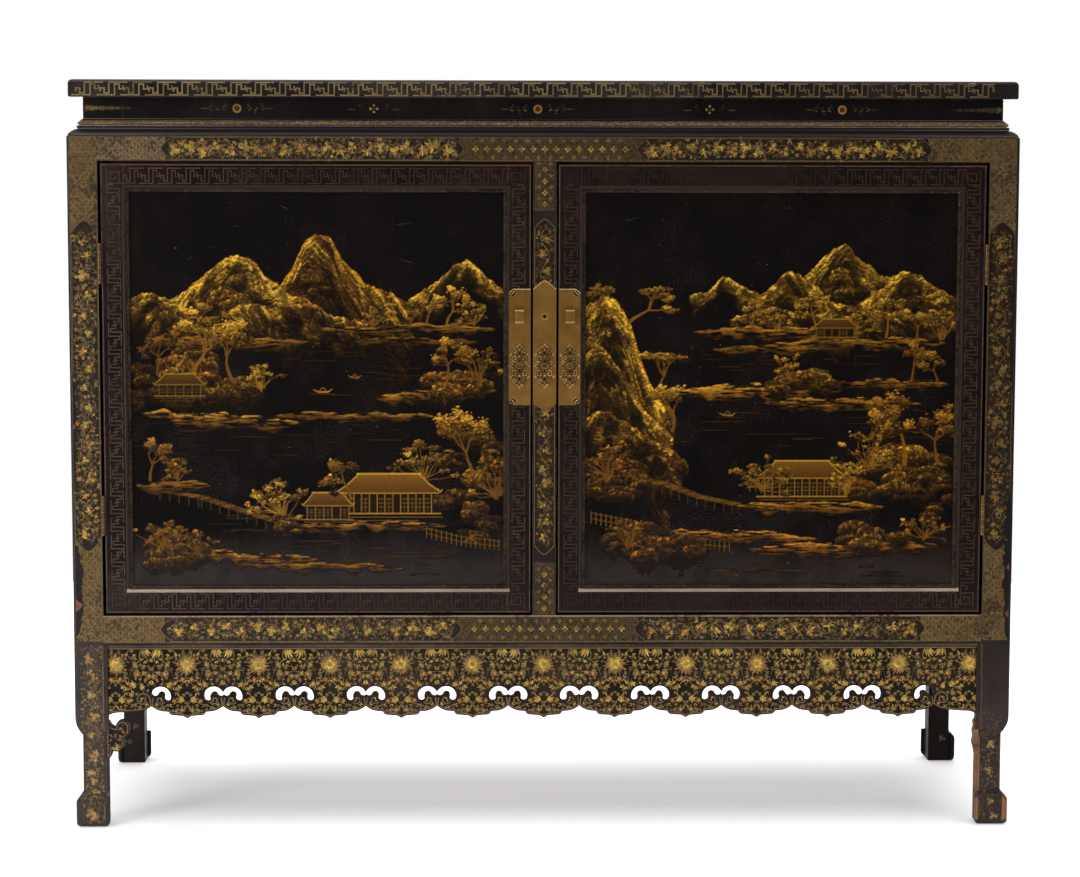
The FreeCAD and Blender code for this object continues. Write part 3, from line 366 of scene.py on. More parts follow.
# Paint colours: red, green and blue as displayed, then how metallic the stroke is.
BRIGHT = (190, 156, 76, 1.0)
YELLOW = (160, 130, 62, 1.0)
ORANGE = (138, 94, 50, 1.0)
AMBER = (128, 96, 44, 0.9)
COPPER = (118, 95, 76, 0.7)
OLIVE = (120, 104, 62, 0.9)
DULL = (100, 84, 54, 0.8)
DIM = (72, 60, 45, 0.6)
HAZE = (56, 45, 34, 0.3)
SMOKE = (40, 32, 22, 0.3)
FAINT = (94, 76, 50, 0.7)
GRAIN = (130, 105, 64, 0.8)
PALE_GRAIN = (146, 121, 84, 0.8)
INK = (20, 16, 17, 0.0)
UMBER = (36, 28, 21, 0.1)
BARE = (118, 78, 64, 0.0)
GLOW = (YELLOW, YELLOW, BRIGHT, ORANGE)
TONES = (YELLOW, YELLOW, YELLOW, OLIVE, OLIVE, ORANGE, ORANGE, COPPER, COPPER, DULL, DULL, DULL, DIM)
DARKER = (ORANGE, OLIVE, DULL, DULL, DULL, DIM, DIM, (92, 62, 32, 0.8), (104, 72, 34, 0.9))
UNDER = ((84, 68, 44, 0.6), (92, 72, 44, 0.6), (72, 56, 42, 0.4), (102, 84, 56, 0.7), (84, 60, 40, 0.5))
DEEP = ((58, 42, 24, 0.5), (66, 48, 26, 0.6), (50, 38, 24, 0.4), (74, 54, 28, 0.6))


# ---------------------------------------------------------------- strokes of paint
def ribbon(n, rows=2, start=0):
    """The quads between rows of n points."""
    return [(start + r * n + i, start + r * n + i + 1, start + (r + 1) * n + i + 1, start + (r + 1) * n + i)
            for r in range(rows - 1) for i in range(n - 1)]


def rectangle(x0, x1, z0, z1):
    """Its corners, in order."""
    return [(x0, z0), (x1, z0), (x1, z1), (x0, z1)]


def ring(x, z, r, sides, last=0):
    """Points on a circle; last=1 closes it."""
    return [(x + r * math.cos(TAU * i / sides), z + r * math.sin(TAU * i / sides))
            for i in range(sides + last)]


class Paint:
    """Strokes on one face of the cabinet, gathered in millimetres and made into one mesh.

    On the front (a, b) is (x, z), on the ends (y, z), and on the top (x, y). The random numbers in rng vary
    colours and sizes a little.
    """

    def __init__(self, name, body, side, level, seed, material, slot="gold_lacquer"):
        self.name, self.body, self.side, self.level = name, body, side, level
        self.material, self.slot = material, slot
        self.points, self.faces, self.colors = [], [], []
        self.rng = random.Random(seed)
        self.warp = self.mask = self.trees = None

    def world(self, a, b, lift):
        if self.warp:
            return self.warp(a, b, lift)
        if self.side == "front":
            return (a, self.level - lift, b)
        if self.side == "top":
            return (a, b, self.level + lift)
        return (self.level + (lift if self.side == "right" else -lift), a, b)

    def onto(self, *names, margin=1.6):
        """Lays the next strokes on these nodes' curved surfaces, clear of their edges by the margin."""
        self.trees, self.margin = [], margin
        for name in names:
            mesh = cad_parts[name].data
            corners = [v.co for v in mesh.vertices]
            self.trees.append(BVHTree.FromPolygons(corners, [tuple(f.vertices) for f in mesh.polygons]))

    def cast(self, a, b):
        """The place and normal on those nodes, looking straight at this face."""
        eye, way = Vector(self.world(a, b, 400.0)), Vector(self.world(a, b, 399.0))
        hits = [tree.ray_cast(eye * MM, way - eye, 0.47) for tree in self.trees]
        hits = [(hit[3], hit[0] / MM, hit[1]) for hit in hits if hit[0] is not None]
        return min(hits, key=lambda hit: hit[0])[1:] if hits else None

    def spot(self, a, b, lift):
        """The place of a point of paint, or None where it's hidden."""
        if self.trees:
            hit, m = self.cast(a, b), self.margin
            clear = hit and all(self.cast(a + da, b + db) for da, db in ((m, 0), (-m, 0), (0, m), (0, -m)))
            return tuple(hit[0] + hit[1] * lift) if clear else None
        if self.mask and not self.mask.has(a, b):
            return None
        return self.world(a, b, lift)

    def add(self, points, faces, color, lift):
        spots = [self.spot(a, b, lift) for a, b in points]
        start = len(self.points)
        self.faces.extend(tuple(start + i for i in face) for face in faces if all(spots[i] for i in face))
        self.points.extend(spots)
        self.colors.extend([color] * len(spots))

    def jitter(self, color, amount=0.14):
        k = 1 + self.rng.uniform(-amount, amount)
        return (color[0] * k, color[1] * k * self.rng.uniform(0.97, 1.03), color[2] * k, color[3])

    def lift(self, base):
        return base + self.rng.random() * 0.03

    def stroke(self, points, width, color, lift=0.07, taper=False, ridge=0.0):
        """A ribbon along points; width is one number or one for each, and ridge the height of its crest."""
        n = len(points)
        p = np.asarray(points, float)
        d = np.gradient(p, axis=0)
        d /= np.maximum(np.linalg.norm(d, axis=1, keepdims=True), 1e-9)
        w = np.broadcast_to(np.asarray(width, float), n)
        if taper:
            t = np.linspace(0, 1, n)
            w = w * np.clip(np.minimum(t * 5 + 0.25, (1 - t) * 2.2 + 0.12), 0, 1)
        side = np.stack([-d[:, 1], d[:, 0]], 1) * (w / 2)[:, None]
        color = self.jitter(color)
        lift = self.lift(lift)
        if not ridge:
            self.add(np.concatenate([p + side, p - side]).tolist(), ribbon(n), color, lift)
            return
        self.faces.extend(ribbon(n, 4, len(self.points)))
        self.colors.extend([color] * (4 * n))
        for share, height in ((1, 0.05), (0.45, ridge), (-0.45, ridge), (-1, 0.05)):
            self.points.extend(self.world(a, b, height) for a, b in (p + side * share).tolist())

    def path(self, corners, width, color, lift=0.07, closed=False):
        """Straight runs with square mitres at the corners."""
        c = [np.array(q, float) for q in corners]
        if closed:
            c = c + [c[0], c[1]]
        if self.warp:
            parts = [c[0]]
            for a, b in zip(c[:-1], c[1:]):
                cuts = max(1, int(abs(b[1] - a[1]) / 1.6))
                parts.extend([a + (b - a) * k / cuts for k in range(1, cuts + 1)])
            c = parts
        runs = [(b - a) / max(np.linalg.norm(b - a), 1e-9) for a, b in zip(c[:-1], c[1:])]
        left, right = [], []
        for point, before, after in zip(c, runs[:1] + runs, runs + runs[-1:]):
            ahead = np.array([-after[1], after[0]])
            mid = np.array([-before[1], before[0]]) + ahead
            mid = mid / max(np.linalg.norm(mid), 1e-9)
            k = width / 2 / max(float(mid @ ahead), 0.35)
            left.append((point + mid * k).tolist())
            right.append((point - mid * k).tolist())
        if closed:
            left, right = left[1:], right[1:]
        self.add(left + right, ribbon(len(left)), self.jitter(color, 0.1), self.lift(lift))

    def fill(self, outline, color, lift=0.05):
        self.add(outline, [tuple(range(len(outline)))], color, lift)

    def disc(self, a, b, r, color, lift=0.1, sides=8):
        self.fill(ring(a, b, r, sides), self.jitter(color), self.lift(lift))

    def leaf(self, a, b, angle, length, width, color, bend=0.0, lift=0.09):
        """A pointed leaf growing from (a, b)."""
        left, right = [], []
        for t, h in ((0.0, 0.06), (0.18, 0.36), (0.42, 0.5), (0.70, 0.34), (1.0, 0.0)):
            turn = angle + bend * t
            x = a + length * t * math.cos(angle + bend * t * 0.5)
            y = b + length * t * math.sin(angle + bend * t * 0.5)
            left.append((x - h * width * math.sin(turn), y + h * width * math.cos(turn)))
            right.append((x + h * width * math.sin(turn), y - h * width * math.cos(turn)))
        self.add(left + right[-2::-1], [tuple(range(9))], self.jitter(color, 0.2), self.lift(lift))

    def ray(self, a, b, angle, start, length, width, color, bend=0.0, lift=0.09):
        """A leaf that starts at a distance from (a, b)."""
        self.leaf(a + start * math.cos(angle), b + start * math.sin(angle), angle, length, width, color, bend,
                  lift)

    def flower(self, a, b, r, petals, color, heart=BRIGHT, turn=None, lift=0.13):
        """Petals round a heart, from a given or a random angle."""
        turn = self.rng.random() * TAU if turn is None else turn
        for i in range(petals):
            self.ray(a, b, turn + TAU * i / petals, 0.12 * r, r * self.rng.uniform(0.82, 1.05),
                     r * 2.9 / petals, color, self.rng.uniform(-0.2, 0.2), lift)
        self.disc(a, b, r * 0.26, heart, lift + 0.05, 6)

    def curl(self, a, b, heading, size, turn, width, color, rounds=1.15, lift=0.06):
        """A tendril that leaves (a, b) at a heading and coils to one side."""
        points, steps = [(a, b)], 16
        for i in range(steps):
            t = i / steps
            heading += turn * rounds * TAU / steps * (0.25 + 1.5 * t)
            step = size * 3.2 / steps * (1.35 - t)
            a, b = a + step * math.cos(heading), b + step * math.sin(heading)
            points.append((a, b))
        self.stroke(points, width, color, lift, taper=True)

    def build(self):
        used = sorted({i for face in self.faces for i in face})
        place = {old: new for new, old in enumerate(used)}
        mesh = bpy.data.meshes.new(self.name)
        mesh.from_pydata((np.array([self.points[i] for i in used], float) * MM).tolist(), [],
                         [tuple(place[i] for i in face) for face in self.faces])
        colors = np.array([self.colors[i] for i in used], float)
        colors[:, :3] = linear(colors[:, :3] / 255)
        add_piece(mesh, self.body, self.material, self.slot, colors)


# ---------------------------------------------------------------- traditional patterns
# Two interlocking lines: how far along the repeat, in units of 1/235, and how far across the band.
FRET = (((0, 0), (180, 0), (180, 0.85), (225, 0.85), (225, 0.46), (262, 0.46), (262, 0.74)),
        ((305, 1), (125, 1), (125, 0.15), (80, 0.15), (80, 0.54), (43, 0.54), (43, 0.26)))


def fret_run(p, at, length, height, count, width, color, lift=0.07, worn=0.0):
    """A key fret with the share worn of its lines missing.

    at(s, t) maps along and across to a place, and color may be a function of the place.
    """
    cell = length / count
    for k in range(count):
        for line in FRET:
            if p.rng.random() < worn:
                continue
            run = [at(min(k * cell + x * cell / 235, length), y * height) for x, y in line]
            p.path(run, width, color(*run[0]) if callable(color) else color, lift)


def fret_frame(p, x0, x1, z0, z1, wide, tall, width, color, cell=25.0):
    """A key fret round a rectangle, with a square coil in each corner; its upright bands may be narrower."""
    gap = 1.4
    long_x, long_z = x1 - x0 - 2 * wide, z1 - z0 - 2 * tall
    for base, away in ((z1 - tall, 1), (z0 + tall, -1)):
        fret_run(p, lambda s, t: (x0 + wide + gap + s, base + away * t), long_x - 2 * gap, tall,
                 round(long_x / cell), width, color)
    for base, away in ((x0 + wide, -1), (x1 - wide, 1)):
        fret_run(p, lambda s, t: (base + away * t, z0 + tall + gap + s), long_z - 2 * gap, wide,
                 round(long_z / cell), width, color)
    coil = ((0, 0), (0, 6), (6, 6), (6, 1.5), (1.7, 1.5), (1.7, 4.4), (4.4, 4.4), (4.4, 3.1))
    for cx, cz, sx, sz in ((x0, z0, 1, 1), (x1, z0, -1, 1), (x0, z1, 1, -1), (x1, z1, -1, -1)):
        p.path([(cx + sx * a * wide / 6, cz + sz * b * tall / 6) for a, b in coil], width,
               color(cx, cz) if callable(color) else color)


def lattice(p, x0, x1, z0, z1, color=GRAIN, ground=HAZE, pitch=4.6, width=1.0, worn=0.04):
    """A basket lattice: small squares hatched with three slanting dashes, turned from square to square."""
    p.fill(rectangle(x0, x1, z0, z1), ground, 0.02)
    nx, nz = max(1, round((x1 - x0) / pitch)), max(1, round((z1 - z0) / pitch))
    dx, dz = (x1 - x0) / nx, (z1 - z0) / nz
    long, half = math.hypot(dx, dz), width / 2
    for i in range(nx):
        for j in range(nz):
            ux, uz = dx / long, (1 if (i + j) % 2 else -1) * dz / long
            for k in (-1, 0, 1):
                if p.rng.random() < worn:
                    continue
                shade = p.rng.uniform(0.80, 1.14)
                reach = long * (0.46 if k == 0 else 0.22)
                cx = x0 + (i + 0.5) * dx - uz * k * long * 0.24
                cz = z0 + (j + 0.5) * dz + ux * k * long * 0.24
                p.fill([(cx + s * ux * reach + t * uz * half, cz + s * uz * reach - t * ux * half)
                        for s, t in ((-1, -1), (-1, 1), (1, 1), (1, -1))],
                       (*(v * shade for v in color[:3]), color[3]), 0.05)


def crosses(p, x0, x1, z, size, color, pitch=15.7):
    """A row of four-petalled crosses, centred between x0 and x1."""
    n = int((x1 - x0) / pitch)
    for i in range(n + 1):
        for turn in range(4):
            p.ray((x0 + x1) / 2 + (i - n / 2) * pitch, z, turn * math.pi / 2, 0.2 * size, size, size * 0.85,
                  color, 0, 0.12)


def cartouche(p, at, length, half, tip=0.95):
    """A dark panel with pointed, rounded ends and a gold line."""
    shares = [k / 5 for k in range(-5, 6)]
    outline = [at(side * (length / 2 - half * tip * abs(q) ** 1.5), side * half * q)
               for side in (1, -1) for q in shares]
    p.fill(outline, UMBER, 0.085)
    p.path(outline, 1.15, DULL, 0.11, closed=True)


def sprig(p, a, b, size, rng, tones):
    """One small touch of foliage: a tendril, a spray of leaves or a little flower."""
    kind, angle, color = rng.random(), rng.random() * TAU, rng.choice(tones)
    if kind < 0.50:
        p.curl(a, b, angle, size * 0.46, rng.choice((-1, 1)), size * 0.12 + 0.35, color,
               rng.uniform(0.8, 1.2), 0.12)
    elif kind < 0.86:
        for turn in (-0.8, -0.1, 0.7):
            p.leaf(a, b, angle + turn, size * rng.uniform(0.55, 0.85), size * 0.30, color,
                   rng.uniform(-0.5, 0.5), 0.14)
    else:
        p.flower(a, b, size * 0.46, 5, color, YELLOW, None, 0.15)


def spray(p, a, b, r, rng, tones):
    """A ragged head of gold leaves round a bright heart."""
    for _ in range(11):
        p.leaf(a, b, rng.random() * TAU, r * rng.uniform(0.6, 1.15), r * rng.uniform(0.22, 0.40),
               rng.choice(tones), rng.uniform(-0.6, 0.6), 0.18)
    p.disc(a, b, r * 0.2, tones[-2], 0.27, 6)


def cluster(p, a, b, r, rng, tones):
    """A bunch of small round-petalled flowers with leaves round it."""
    for _ in range(7):
        p.leaf(a, b, rng.random() * TAU, r * rng.uniform(0.8, 1.15), r * rng.uniform(0.18, 0.28),
               rng.choice((DULL, OLIVE, DIM)), rng.uniform(-0.6, 0.6), 0.16)
    turn = rng.random() * TAU
    for k in range(4):
        angle, reach = turn + k * TAU / 3, r * (0.46 if k < 3 else 0.05)
        p.flower(a + reach * math.cos(angle), b + reach * math.sin(angle), r * rng.uniform(0.34, 0.46), 5,
                 rng.choice(tones), tones[-2], None, 0.19)


def scatter(rng, length, half, pitch, spread):
    """Places along and across a band, one in each square of the pitch."""
    cols, rows = max(1, round(length / pitch)), max(1, round(2 * half / pitch))
    for i in range(cols):
        for j in range(rows):
            s = -length / 2 + (i + 0.5 + rng.uniform(-spread, spread)) * length / cols
            yield s, -half + (j + 0.5 + rng.uniform(-spread, spread)) * 2 * half / rows


def touches(p, at, length, half, seed, pitch, size, tones):
    """A close growth of small touches along a band."""
    rng = random.Random(seed)
    for s, t in scatter(rng, length, half, pitch, 0.45):
        sprig(p, *at(s, t), size * rng.uniform(0.7, 1.2), rng, tones)


def vine(p, at, length, half, seed, pitch=7.0, size=7.8, heads=25.0, tones=TONES, glow=GLOW, bloom=9.0):
    """A flowering scroll along a band: a winding stem, tendrils, leaves and a head of flowers at each turn.

    heads is about how far apart the flower heads are, glow their colours, and bloom their largest radius.
    """
    rng = random.Random(seed)
    p.rng.seed(seed)
    count = max(2, round(length / heads))
    p.stroke([at(-length / 2 + length * i / (count * 10), half * 0.5 * math.sin(math.pi * i / 10 + 0.4))
              for i in range(count * 10 + 1)], 0.9, OLIVE, 0.10)
    for s, t in scatter(rng, length, half, pitch, 0.4):
        sprig(p, *at(s, t), size * rng.uniform(0.7, 1.15), rng, tones)
    for k in range(count):
        s = -length / 2 + (k + 0.5 + rng.uniform(-0.15, 0.15)) * length / count
        r = min(half * 0.95, bloom) * rng.uniform(0.7, 1.05)
        head = cluster if rng.random() < 0.7 else spray
        head(p, *at(s, half * (0.22 if k % 2 else -0.22)), r, rng, glow)


def band(p, at, length, half, seed, under=UNDER, **vine_looks):
    """A cartouche filled with flowers.

    at(s, t) maps along and across to a place, and under has the colours of the growth behind the flowers.
    """
    cartouche(p, at, length, half)
    touches(p, at, length - 1.3 * half, half * 0.88, seed + 500, 4.8, 6.2, under)
    vine(p, at, length - 1.5 * half, half * 0.84, seed, **vine_looks)


def vertical(x, z):
    """The mapping of an upright band centred on (x, z)."""
    return lambda s, t: (x + t, z + s)


def level(x, z):
    """The mapping of a level band centred on (x, z)."""
    return lambda s, t: (x + s, z + t)


def blossom(p, a, b, r):
    """A radiating many-petalled head: dull spiky rays round a bright heart."""
    for count, reach, width, color, lift in ((20, 1.20, 0.24, DULL, 0.09), (18, 1.04, 0.26, ORANGE, 0.13),
                                             (15, 0.88, 0.30, OLIVE, 0.16), (13, 0.72, 0.32, YELLOW, 0.19),
                                             (11, 0.54, 0.34, YELLOW, 0.22), (9, 0.40, 0.36, BRIGHT, 0.25)):
        for i in range(count):
            p.ray(a, b, TAU * i / count + lift * 9, 0.1 * r, r * reach * p.rng.uniform(0.72, 1.06), r * width,
                  color, p.rng.uniform(-0.25, 0.25), lift)
    p.disc(a, b, r * 0.22, YELLOW, 0.30)


def bend(a, b, c, steps=12):
    """Points along a curve from a to c, drawn towards b."""
    return [tuple((1 - q) ** 2 * a[i] + 2 * q * (1 - q) * b[i] + q * q * c[i] for i in (0, 1))
            for q in [k / steps for k in range(steps + 1)]]


def outline_of(node, axis, level, tolerance=0.4):
    """The boundary loops of a node's flat face at a level of one axis, as lists of two-coordinate points."""
    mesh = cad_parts[node].data
    across, up = [i for i in range(3) if i != axis]
    edges = {}
    for face in mesh.polygons:
        corners = [mesh.vertices[i].co / MM for i in face.vertices]
        if any(abs(c[axis] - level) > tolerance for c in corners):
            continue
        names = [(round(c[across], 2), round(c[up], 2)) for c in corners]
        for pair in zip(names, names[1:] + names[:1]):
            if pair[0] != pair[1] and not edges.pop(pair[::-1], False):
                edges[pair] = True
    follow = {}
    for a, b in edges:
        follow.setdefault(a, []).append(b)
    loops = []
    while follow:
        here = next(iter(follow))
        loop = [here]
        while here in follow:
            after = follow[here].pop()
            if not follow[here]:
                del follow[here]
            if after == loop[0]:
                break
            loop.append(after)
            here = after
        loops.append(loop)
    return loops


def inset_line(p, loop, inset, width, color, lift, keep=lambda point: True):
    """A line at a distance inside a boundary loop, along the points for which keep holds."""
    pts = np.array(loop, float)
    after = np.roll(pts, -1, 0)
    area = np.sum(pts[:, 0] * after[:, 1] - after[:, 0] * pts[:, 1])
    dense = []
    for a, b in zip(pts, after):
        k = max(1, int(np.linalg.norm(b - a) / 2.5))
        dense.extend([a + (b - a) * j / k for j in range(k)])
    q = np.array(dense)
    d = np.roll(q, -1, 0) - np.roll(q, 1, 0)
    d /= np.maximum(np.linalg.norm(d, axis=1, keepdims=True), 1e-9)
    moved = (q + np.stack([-d[:, 1], d[:, 0]], 1) * (inset if area > 0 else -inset)).tolist()
    runs = [[]]
    for point in moved + moved[:1]:
        if keep(point):
            runs[-1].append(point)
        else:
            runs.append([])
    for run in runs:
        if len(run) > 2:
            p.stroke(run, width, color, lift)


class Mask:
    """Where a flat face is, on a grid, so that no stroke runs over its edge or across a hole."""

    def __init__(self, loops, margin, cell=0.5):
        pts = np.concatenate([np.array(loop) for loop in loops])
        self.low, self.cell = pts.min(0) - 2, cell
        cols, rows = np.ceil((pts.max(0) + 2 - self.low) / cell).astype(int)
        grid = np.zeros((rows, cols), bool)
        for r in range(rows):
            z = self.low[1] + (r + 0.5) * cell
            cuts = []
            for loop in loops:
                q = np.array(loop)
                after = np.roll(q, -1, 0)
                hit = (q[:, 1] > z) != (after[:, 1] > z)
                a, b = q[hit], after[hit]
                cuts.extend(a[:, 0] + (z - a[:, 1]) / (b[:, 1] - a[:, 1]) * (b[:, 0] - a[:, 0]))
            cuts.sort()
            for x0, x1 in zip(cuts[::2], cuts[1::2]):
                grid[r, int((x0 - self.low[0]) / cell):int((x1 - self.low[0]) / cell) + 1] = True
        for _ in range(int(margin / cell)):
            grid = grid & np.all([np.roll(grid, step, axis) for axis in (0, 1) for step in (1, -1)], 0)
        self.grid = grid

    def has(self, a, b):
        c, r = int((a - self.low[0]) / self.cell), int((b - self.low[1]) / self.cell)
        return 0 <= r < self.grid.shape[0] and 0 <= c < self.grid.shape[1] and bool(self.grid[r, c])


# ---------------------------------------------------------------- the top board's edge and the neck
def edge_warp(side):
    """Follows the rounded edge of the top board; b runs up the profile from its flat part's lower end."""
    low_round, high_round = 2.5, 6.0
    low, high = TOP_LOW + low_round, TOP_HIGH - high_round

    def warp(a, b, lift):
        if b < 0:
            turn = -b / low_round
            out = low_round - (low_round + lift) * math.cos(turn)
            z = low - (low_round + lift) * math.sin(turn)
        elif b <= high - low:
            out, z = -lift, low + b
        else:
            turn = (b - (high - low)) / high_round
            out = high_round - (high_round + lift) * math.cos(turn)
            z = high + (high_round + lift) * math.sin(turn)
        if side == "front":
            return (a, TOP_FACE + out, z)
        return (-TOP_HALF + out if side == "left" else TOP_HALF - out, a, z)

    return warp


def paint_top_edge():
    """A fret round the board's edge, darker and at last rubbed away towards the right end."""
    p = Paint("top_edge_fret", "case", "front", TOP_FACE, 11, GOLD_WORN)

    def darker_to_right(x, z):
        share = 1 - 0.2 * max(0.0, x / TOP_HALF)
        return (128 * share, 112 * share, 76 * share, 0.9)

    for side, start, end, color in (("front", -TOP_HALF + 5, TOP_HALF - 34, darker_to_right),
                                    ("left", -206.0, 222.0, DULL), ("right", -206.0, 222.0, DULL)):
        p.warp = edge_warp(side)
        fret_run(p, lambda s, t: (start + s, t + 0.4), end - start, 17.0, round((end - start) / 33.0), 1.9,
                 color, 0.06)
    p.build()


def paint_neck():
    """Medallions and stars between pairs of sprays, and a feathered spray at each end."""
    p = Paint("neck_painting", "case", "front", NECK_FACE, 12, GOLD_WORN)
    z = NECK_MIDDLE_Z
    for x in (-420.0, -9.5, 408.0):
        circle = ring(x, z, 4.7, 20, 1)
        p.stroke(circle, 3.6, ORANGE, 0.10)
        p.stroke(circle, 1.3, BRIGHT, 0.16)
        p.disc(x, z, 2.2, (96, 40, 26, 0.2), 0.12)
        for side, ahead in ((-1, math.pi), (1, 0)):
            for k in range(3):
                start, way = x + side * (12 + 9 * k), (-1) ** k
                p.curl(start, z + 1.5 * way, ahead, 4.2, side * way, 0.9, DIM)
                p.leaf(start + side * 3, z - 2.5, ahead + side * 0.4, 6, 2.0, DULL, 0.3)
                p.leaf(start + side * 4, z + 3.0, ahead - side * 0.4, 6, 2.0, DIM, -0.3)
            p.leaf(x + side * 38, z, ahead, 14, 2.2, DIM)
    for x in (-233.5, 226.0):
        for a, b in ring(x, z, 4.4, 4, 1)[1:]:
            p.disc(a, b, 1.9, YELLOW, 0.12)
        p.disc(x, z, 1.1, ORANGE, 0.14, 6)
        for side, ahead in ((-1, math.pi), (1, 0)):
            p.curl(x + side * 14, z, ahead, 5, side, 0.8, DIM)
            p.leaf(x + side * 24, z - 1, ahead, 14, 2.2, DIM)
    for side, inward, fades in ((-1, 0.0, (ORANGE, OLIVE, DULL, DULL, DIM, DIM)),
                                (1, math.pi, (DULL, *[DIM] * 5))):
        for k in range(22):
            x = side * (NECK_HALF - 2 - 2.9 * k)
            color = fades[0 if k < 2 else 1 + (k - 2) // 5]
            reach = p.rng.uniform(4.5, 7.5) * (1 - k / 44)
            for up in (1, -1):
                p.leaf(x, z + up * 0.8, inward + up * side * 0.75, reach, 2.4, color, up * side * 0.5)
        p.stroke([(side * (NECK_HALF - 1), z), (side * (NECK_HALF - 78), z)], 1.2, DULL, 0.06, taper=True)
    p.build()


# ---------------------------------------------------------------- rails, posts and centre muntin
def paint_rails(p, low, high, spans, ends, seed):
    """Flower cartouches along a rail, with a diaper of crosses between them and lattice at the ends."""
    z, half = (low + high) / 2, (high - low) / 2 - 2.0
    upper = low > MIDDLE_Z
    edges = [ends[0]] + [x for pair in spans for x in pair] + [ends[1]]
    for x0, x1 in zip(edges[::2], edges[1::2]):
        left, right = x0 == ends[0], x1 == ends[1]
        middle = not (left or right)
        # the upper rail's lattice at the left end is paler: painted light, as if lit from the left
        pale = x0 < -HALF / 2 and upper
        color, ground = (FAINT, SMOKE) if middle else (PALE_GRAIN if pale else GRAIN, HAZE)
        lattice(p, x0 - (0 if left else 6), x1 + (0 if right else 6), low + 1.5, high - 1.5, color, ground)
        if middle:
            crosses(p, x0 + 14, x1 - 14, z, 4.0, YELLOW)
            for dz in (-11.5, 11.5):
                crosses(p, x0 + 20, x1 - 20, z + dz, 2.8, OLIVE)
    for i, (x0, x1) in enumerate(spans):
        band(p, level((x0 + x1) / 2, z), x1 - x0, half, seed + i, under=DEEP if i and upper else UNDER,
             heads=18.5 if upper else 22.0, bloom=11.5 if upper else 9.5)
    # on the lower rails the line along the top edge is pale: a painted highlight where the edge faces up
    lit_top_edge = (high - 1.0, 2.0, (138, 120, 94, 0.6))
    for z, width, color in ((low + 1.0, 1.2, DULL), (high - 0.8, 1.2, DULL) if upper else lit_top_edge):
        p.path([(ends[0], z), (ends[1], z)], width, color, 0.12)


def paint_front():
    """Flower bands and lattice on the rails and corner posts, and bands and crosses on the muntin."""
    p = Paint("front_rail_painting", "case", "front", FRONT, 21, GOLD_WORN)
    paint_rails(p, OPEN_TOP, CASE_TOP - 1.0, ((-521.5, -111.0), (126.0, 529.4)), (-POST_IN, POST_IN), 300)
    paint_rails(p, RAIL_LOW + 1.0, OPEN_LOW, ((-530.0, -114.0), (125.0, 529.6)), (-POST_IN, POST_IN), 310)
    p.build()

    p = Paint("front_post_painting", "case", "front", FRONT, 22, GOLD_WORN)
    # the right post's flowers take darker colours: painted shade, as if lit from the left
    for side, looks in ((-1, {}), (1, {"tones": DARKER, "glow": (DULL, OLIVE, DULL, AMBER, ORANGE),
                                       "under": DEEP})):
        x0, x1 = sorted((side * (HALF - 4.2), side * (POST_IN + 0.6)))
        for low, high in POST_LATTICES:
            lattice(p, x0, x1, low, high)
        band(p, vertical((x0 + x1) / 2, 615), 454, 17.4, 320 + side, **looks)
        edge = side * (POST_IN + 1.0)
        p.path([(edge, 262.0), (edge, CASE_TOP - 1)], 1.4, DULL, 0.13)
    p.build()

    p = Paint("muntin_painting", "case", "front", FRONT, 23, GOLD_WORN)
    band(p, vertical(0, 614), 462, 13.8, 330, tones=DARKER, glow=(YELLOW, OLIVE, YELLOW, ORANGE), under=DEEP)
    for z0, z1 in ((OPEN_LOW + 1, 372.0), (856.0, OPEN_TOP - 1)):
        lattice(p, -MUNTIN_HALF + 2, MUNTIN_HALF - 2, z0, z1, FAINT, SMOKE)
        for z in np.arange(z0 + 9, z1 - 4, 15.7):
            crosses(p, -1, 1, z, 3.8, YELLOW)
            for dx in (-8, 8):
                crosses(p, dx - 1, dx + 1, z + 7.8, 2.6, OLIVE)
    p.build()


# ---------------------------------------------------------------- aprons and legs
# One half of a lobe's pattern, measured across from its middle and down from the apron's top edge. A stem has
# its start, the point it bends towards and its end, a flower its radius, and a leaf of the bell its angle and
# length.
STEMS = (((43, 14), (24, 20), (19, 42)), ((19, 42), (16, 56), (27, 64)), ((27, 3), (14, 2), (17, 11)),
         ((17, 11), (21, 17), (26, 12)), ((36, 3), (30, 14), (37, 20)), ((49, 34), (36, 34), (33, 46)),
         ((33, 46), (34, 56), (44, 55)), ((3, 48), (12, 54), (12, 66)), ((12, 66), (10, 80), (24, 80)),
         ((2, 96), (10, 90), (18, 92)), ((24, 80), (32, 82), (34, 88)))
BLOOMS = ((31, 37, 5.2, ORANGE), (24, 52, 4.6, YELLOW), (6.2, 45, 4.7, ORANGE), (37, 55, 3.8, YELLOW),
          (46.5, 40, 4.2, OLIVE), (22, 66, 4.6, OLIVE), (14, 58, 3.8, OLIVE), (9, 74, 5.0, YELLOW),
          (18, 75, 3.8, ORANGE), (7, 88, 4.4, OLIVE), (27, 24, 4.0, OLIVE), (38, 28, 3.8, DULL))
BELL = ((36.5, -0.5, 9, OLIVE), (38.4, -0.2, 12, YELLOW), (40.2, 0.0, 14, YELLOW), (42.2, 0.2, 13, BRIGHT),
        (43.6, 0.5, 10, YELLOW))


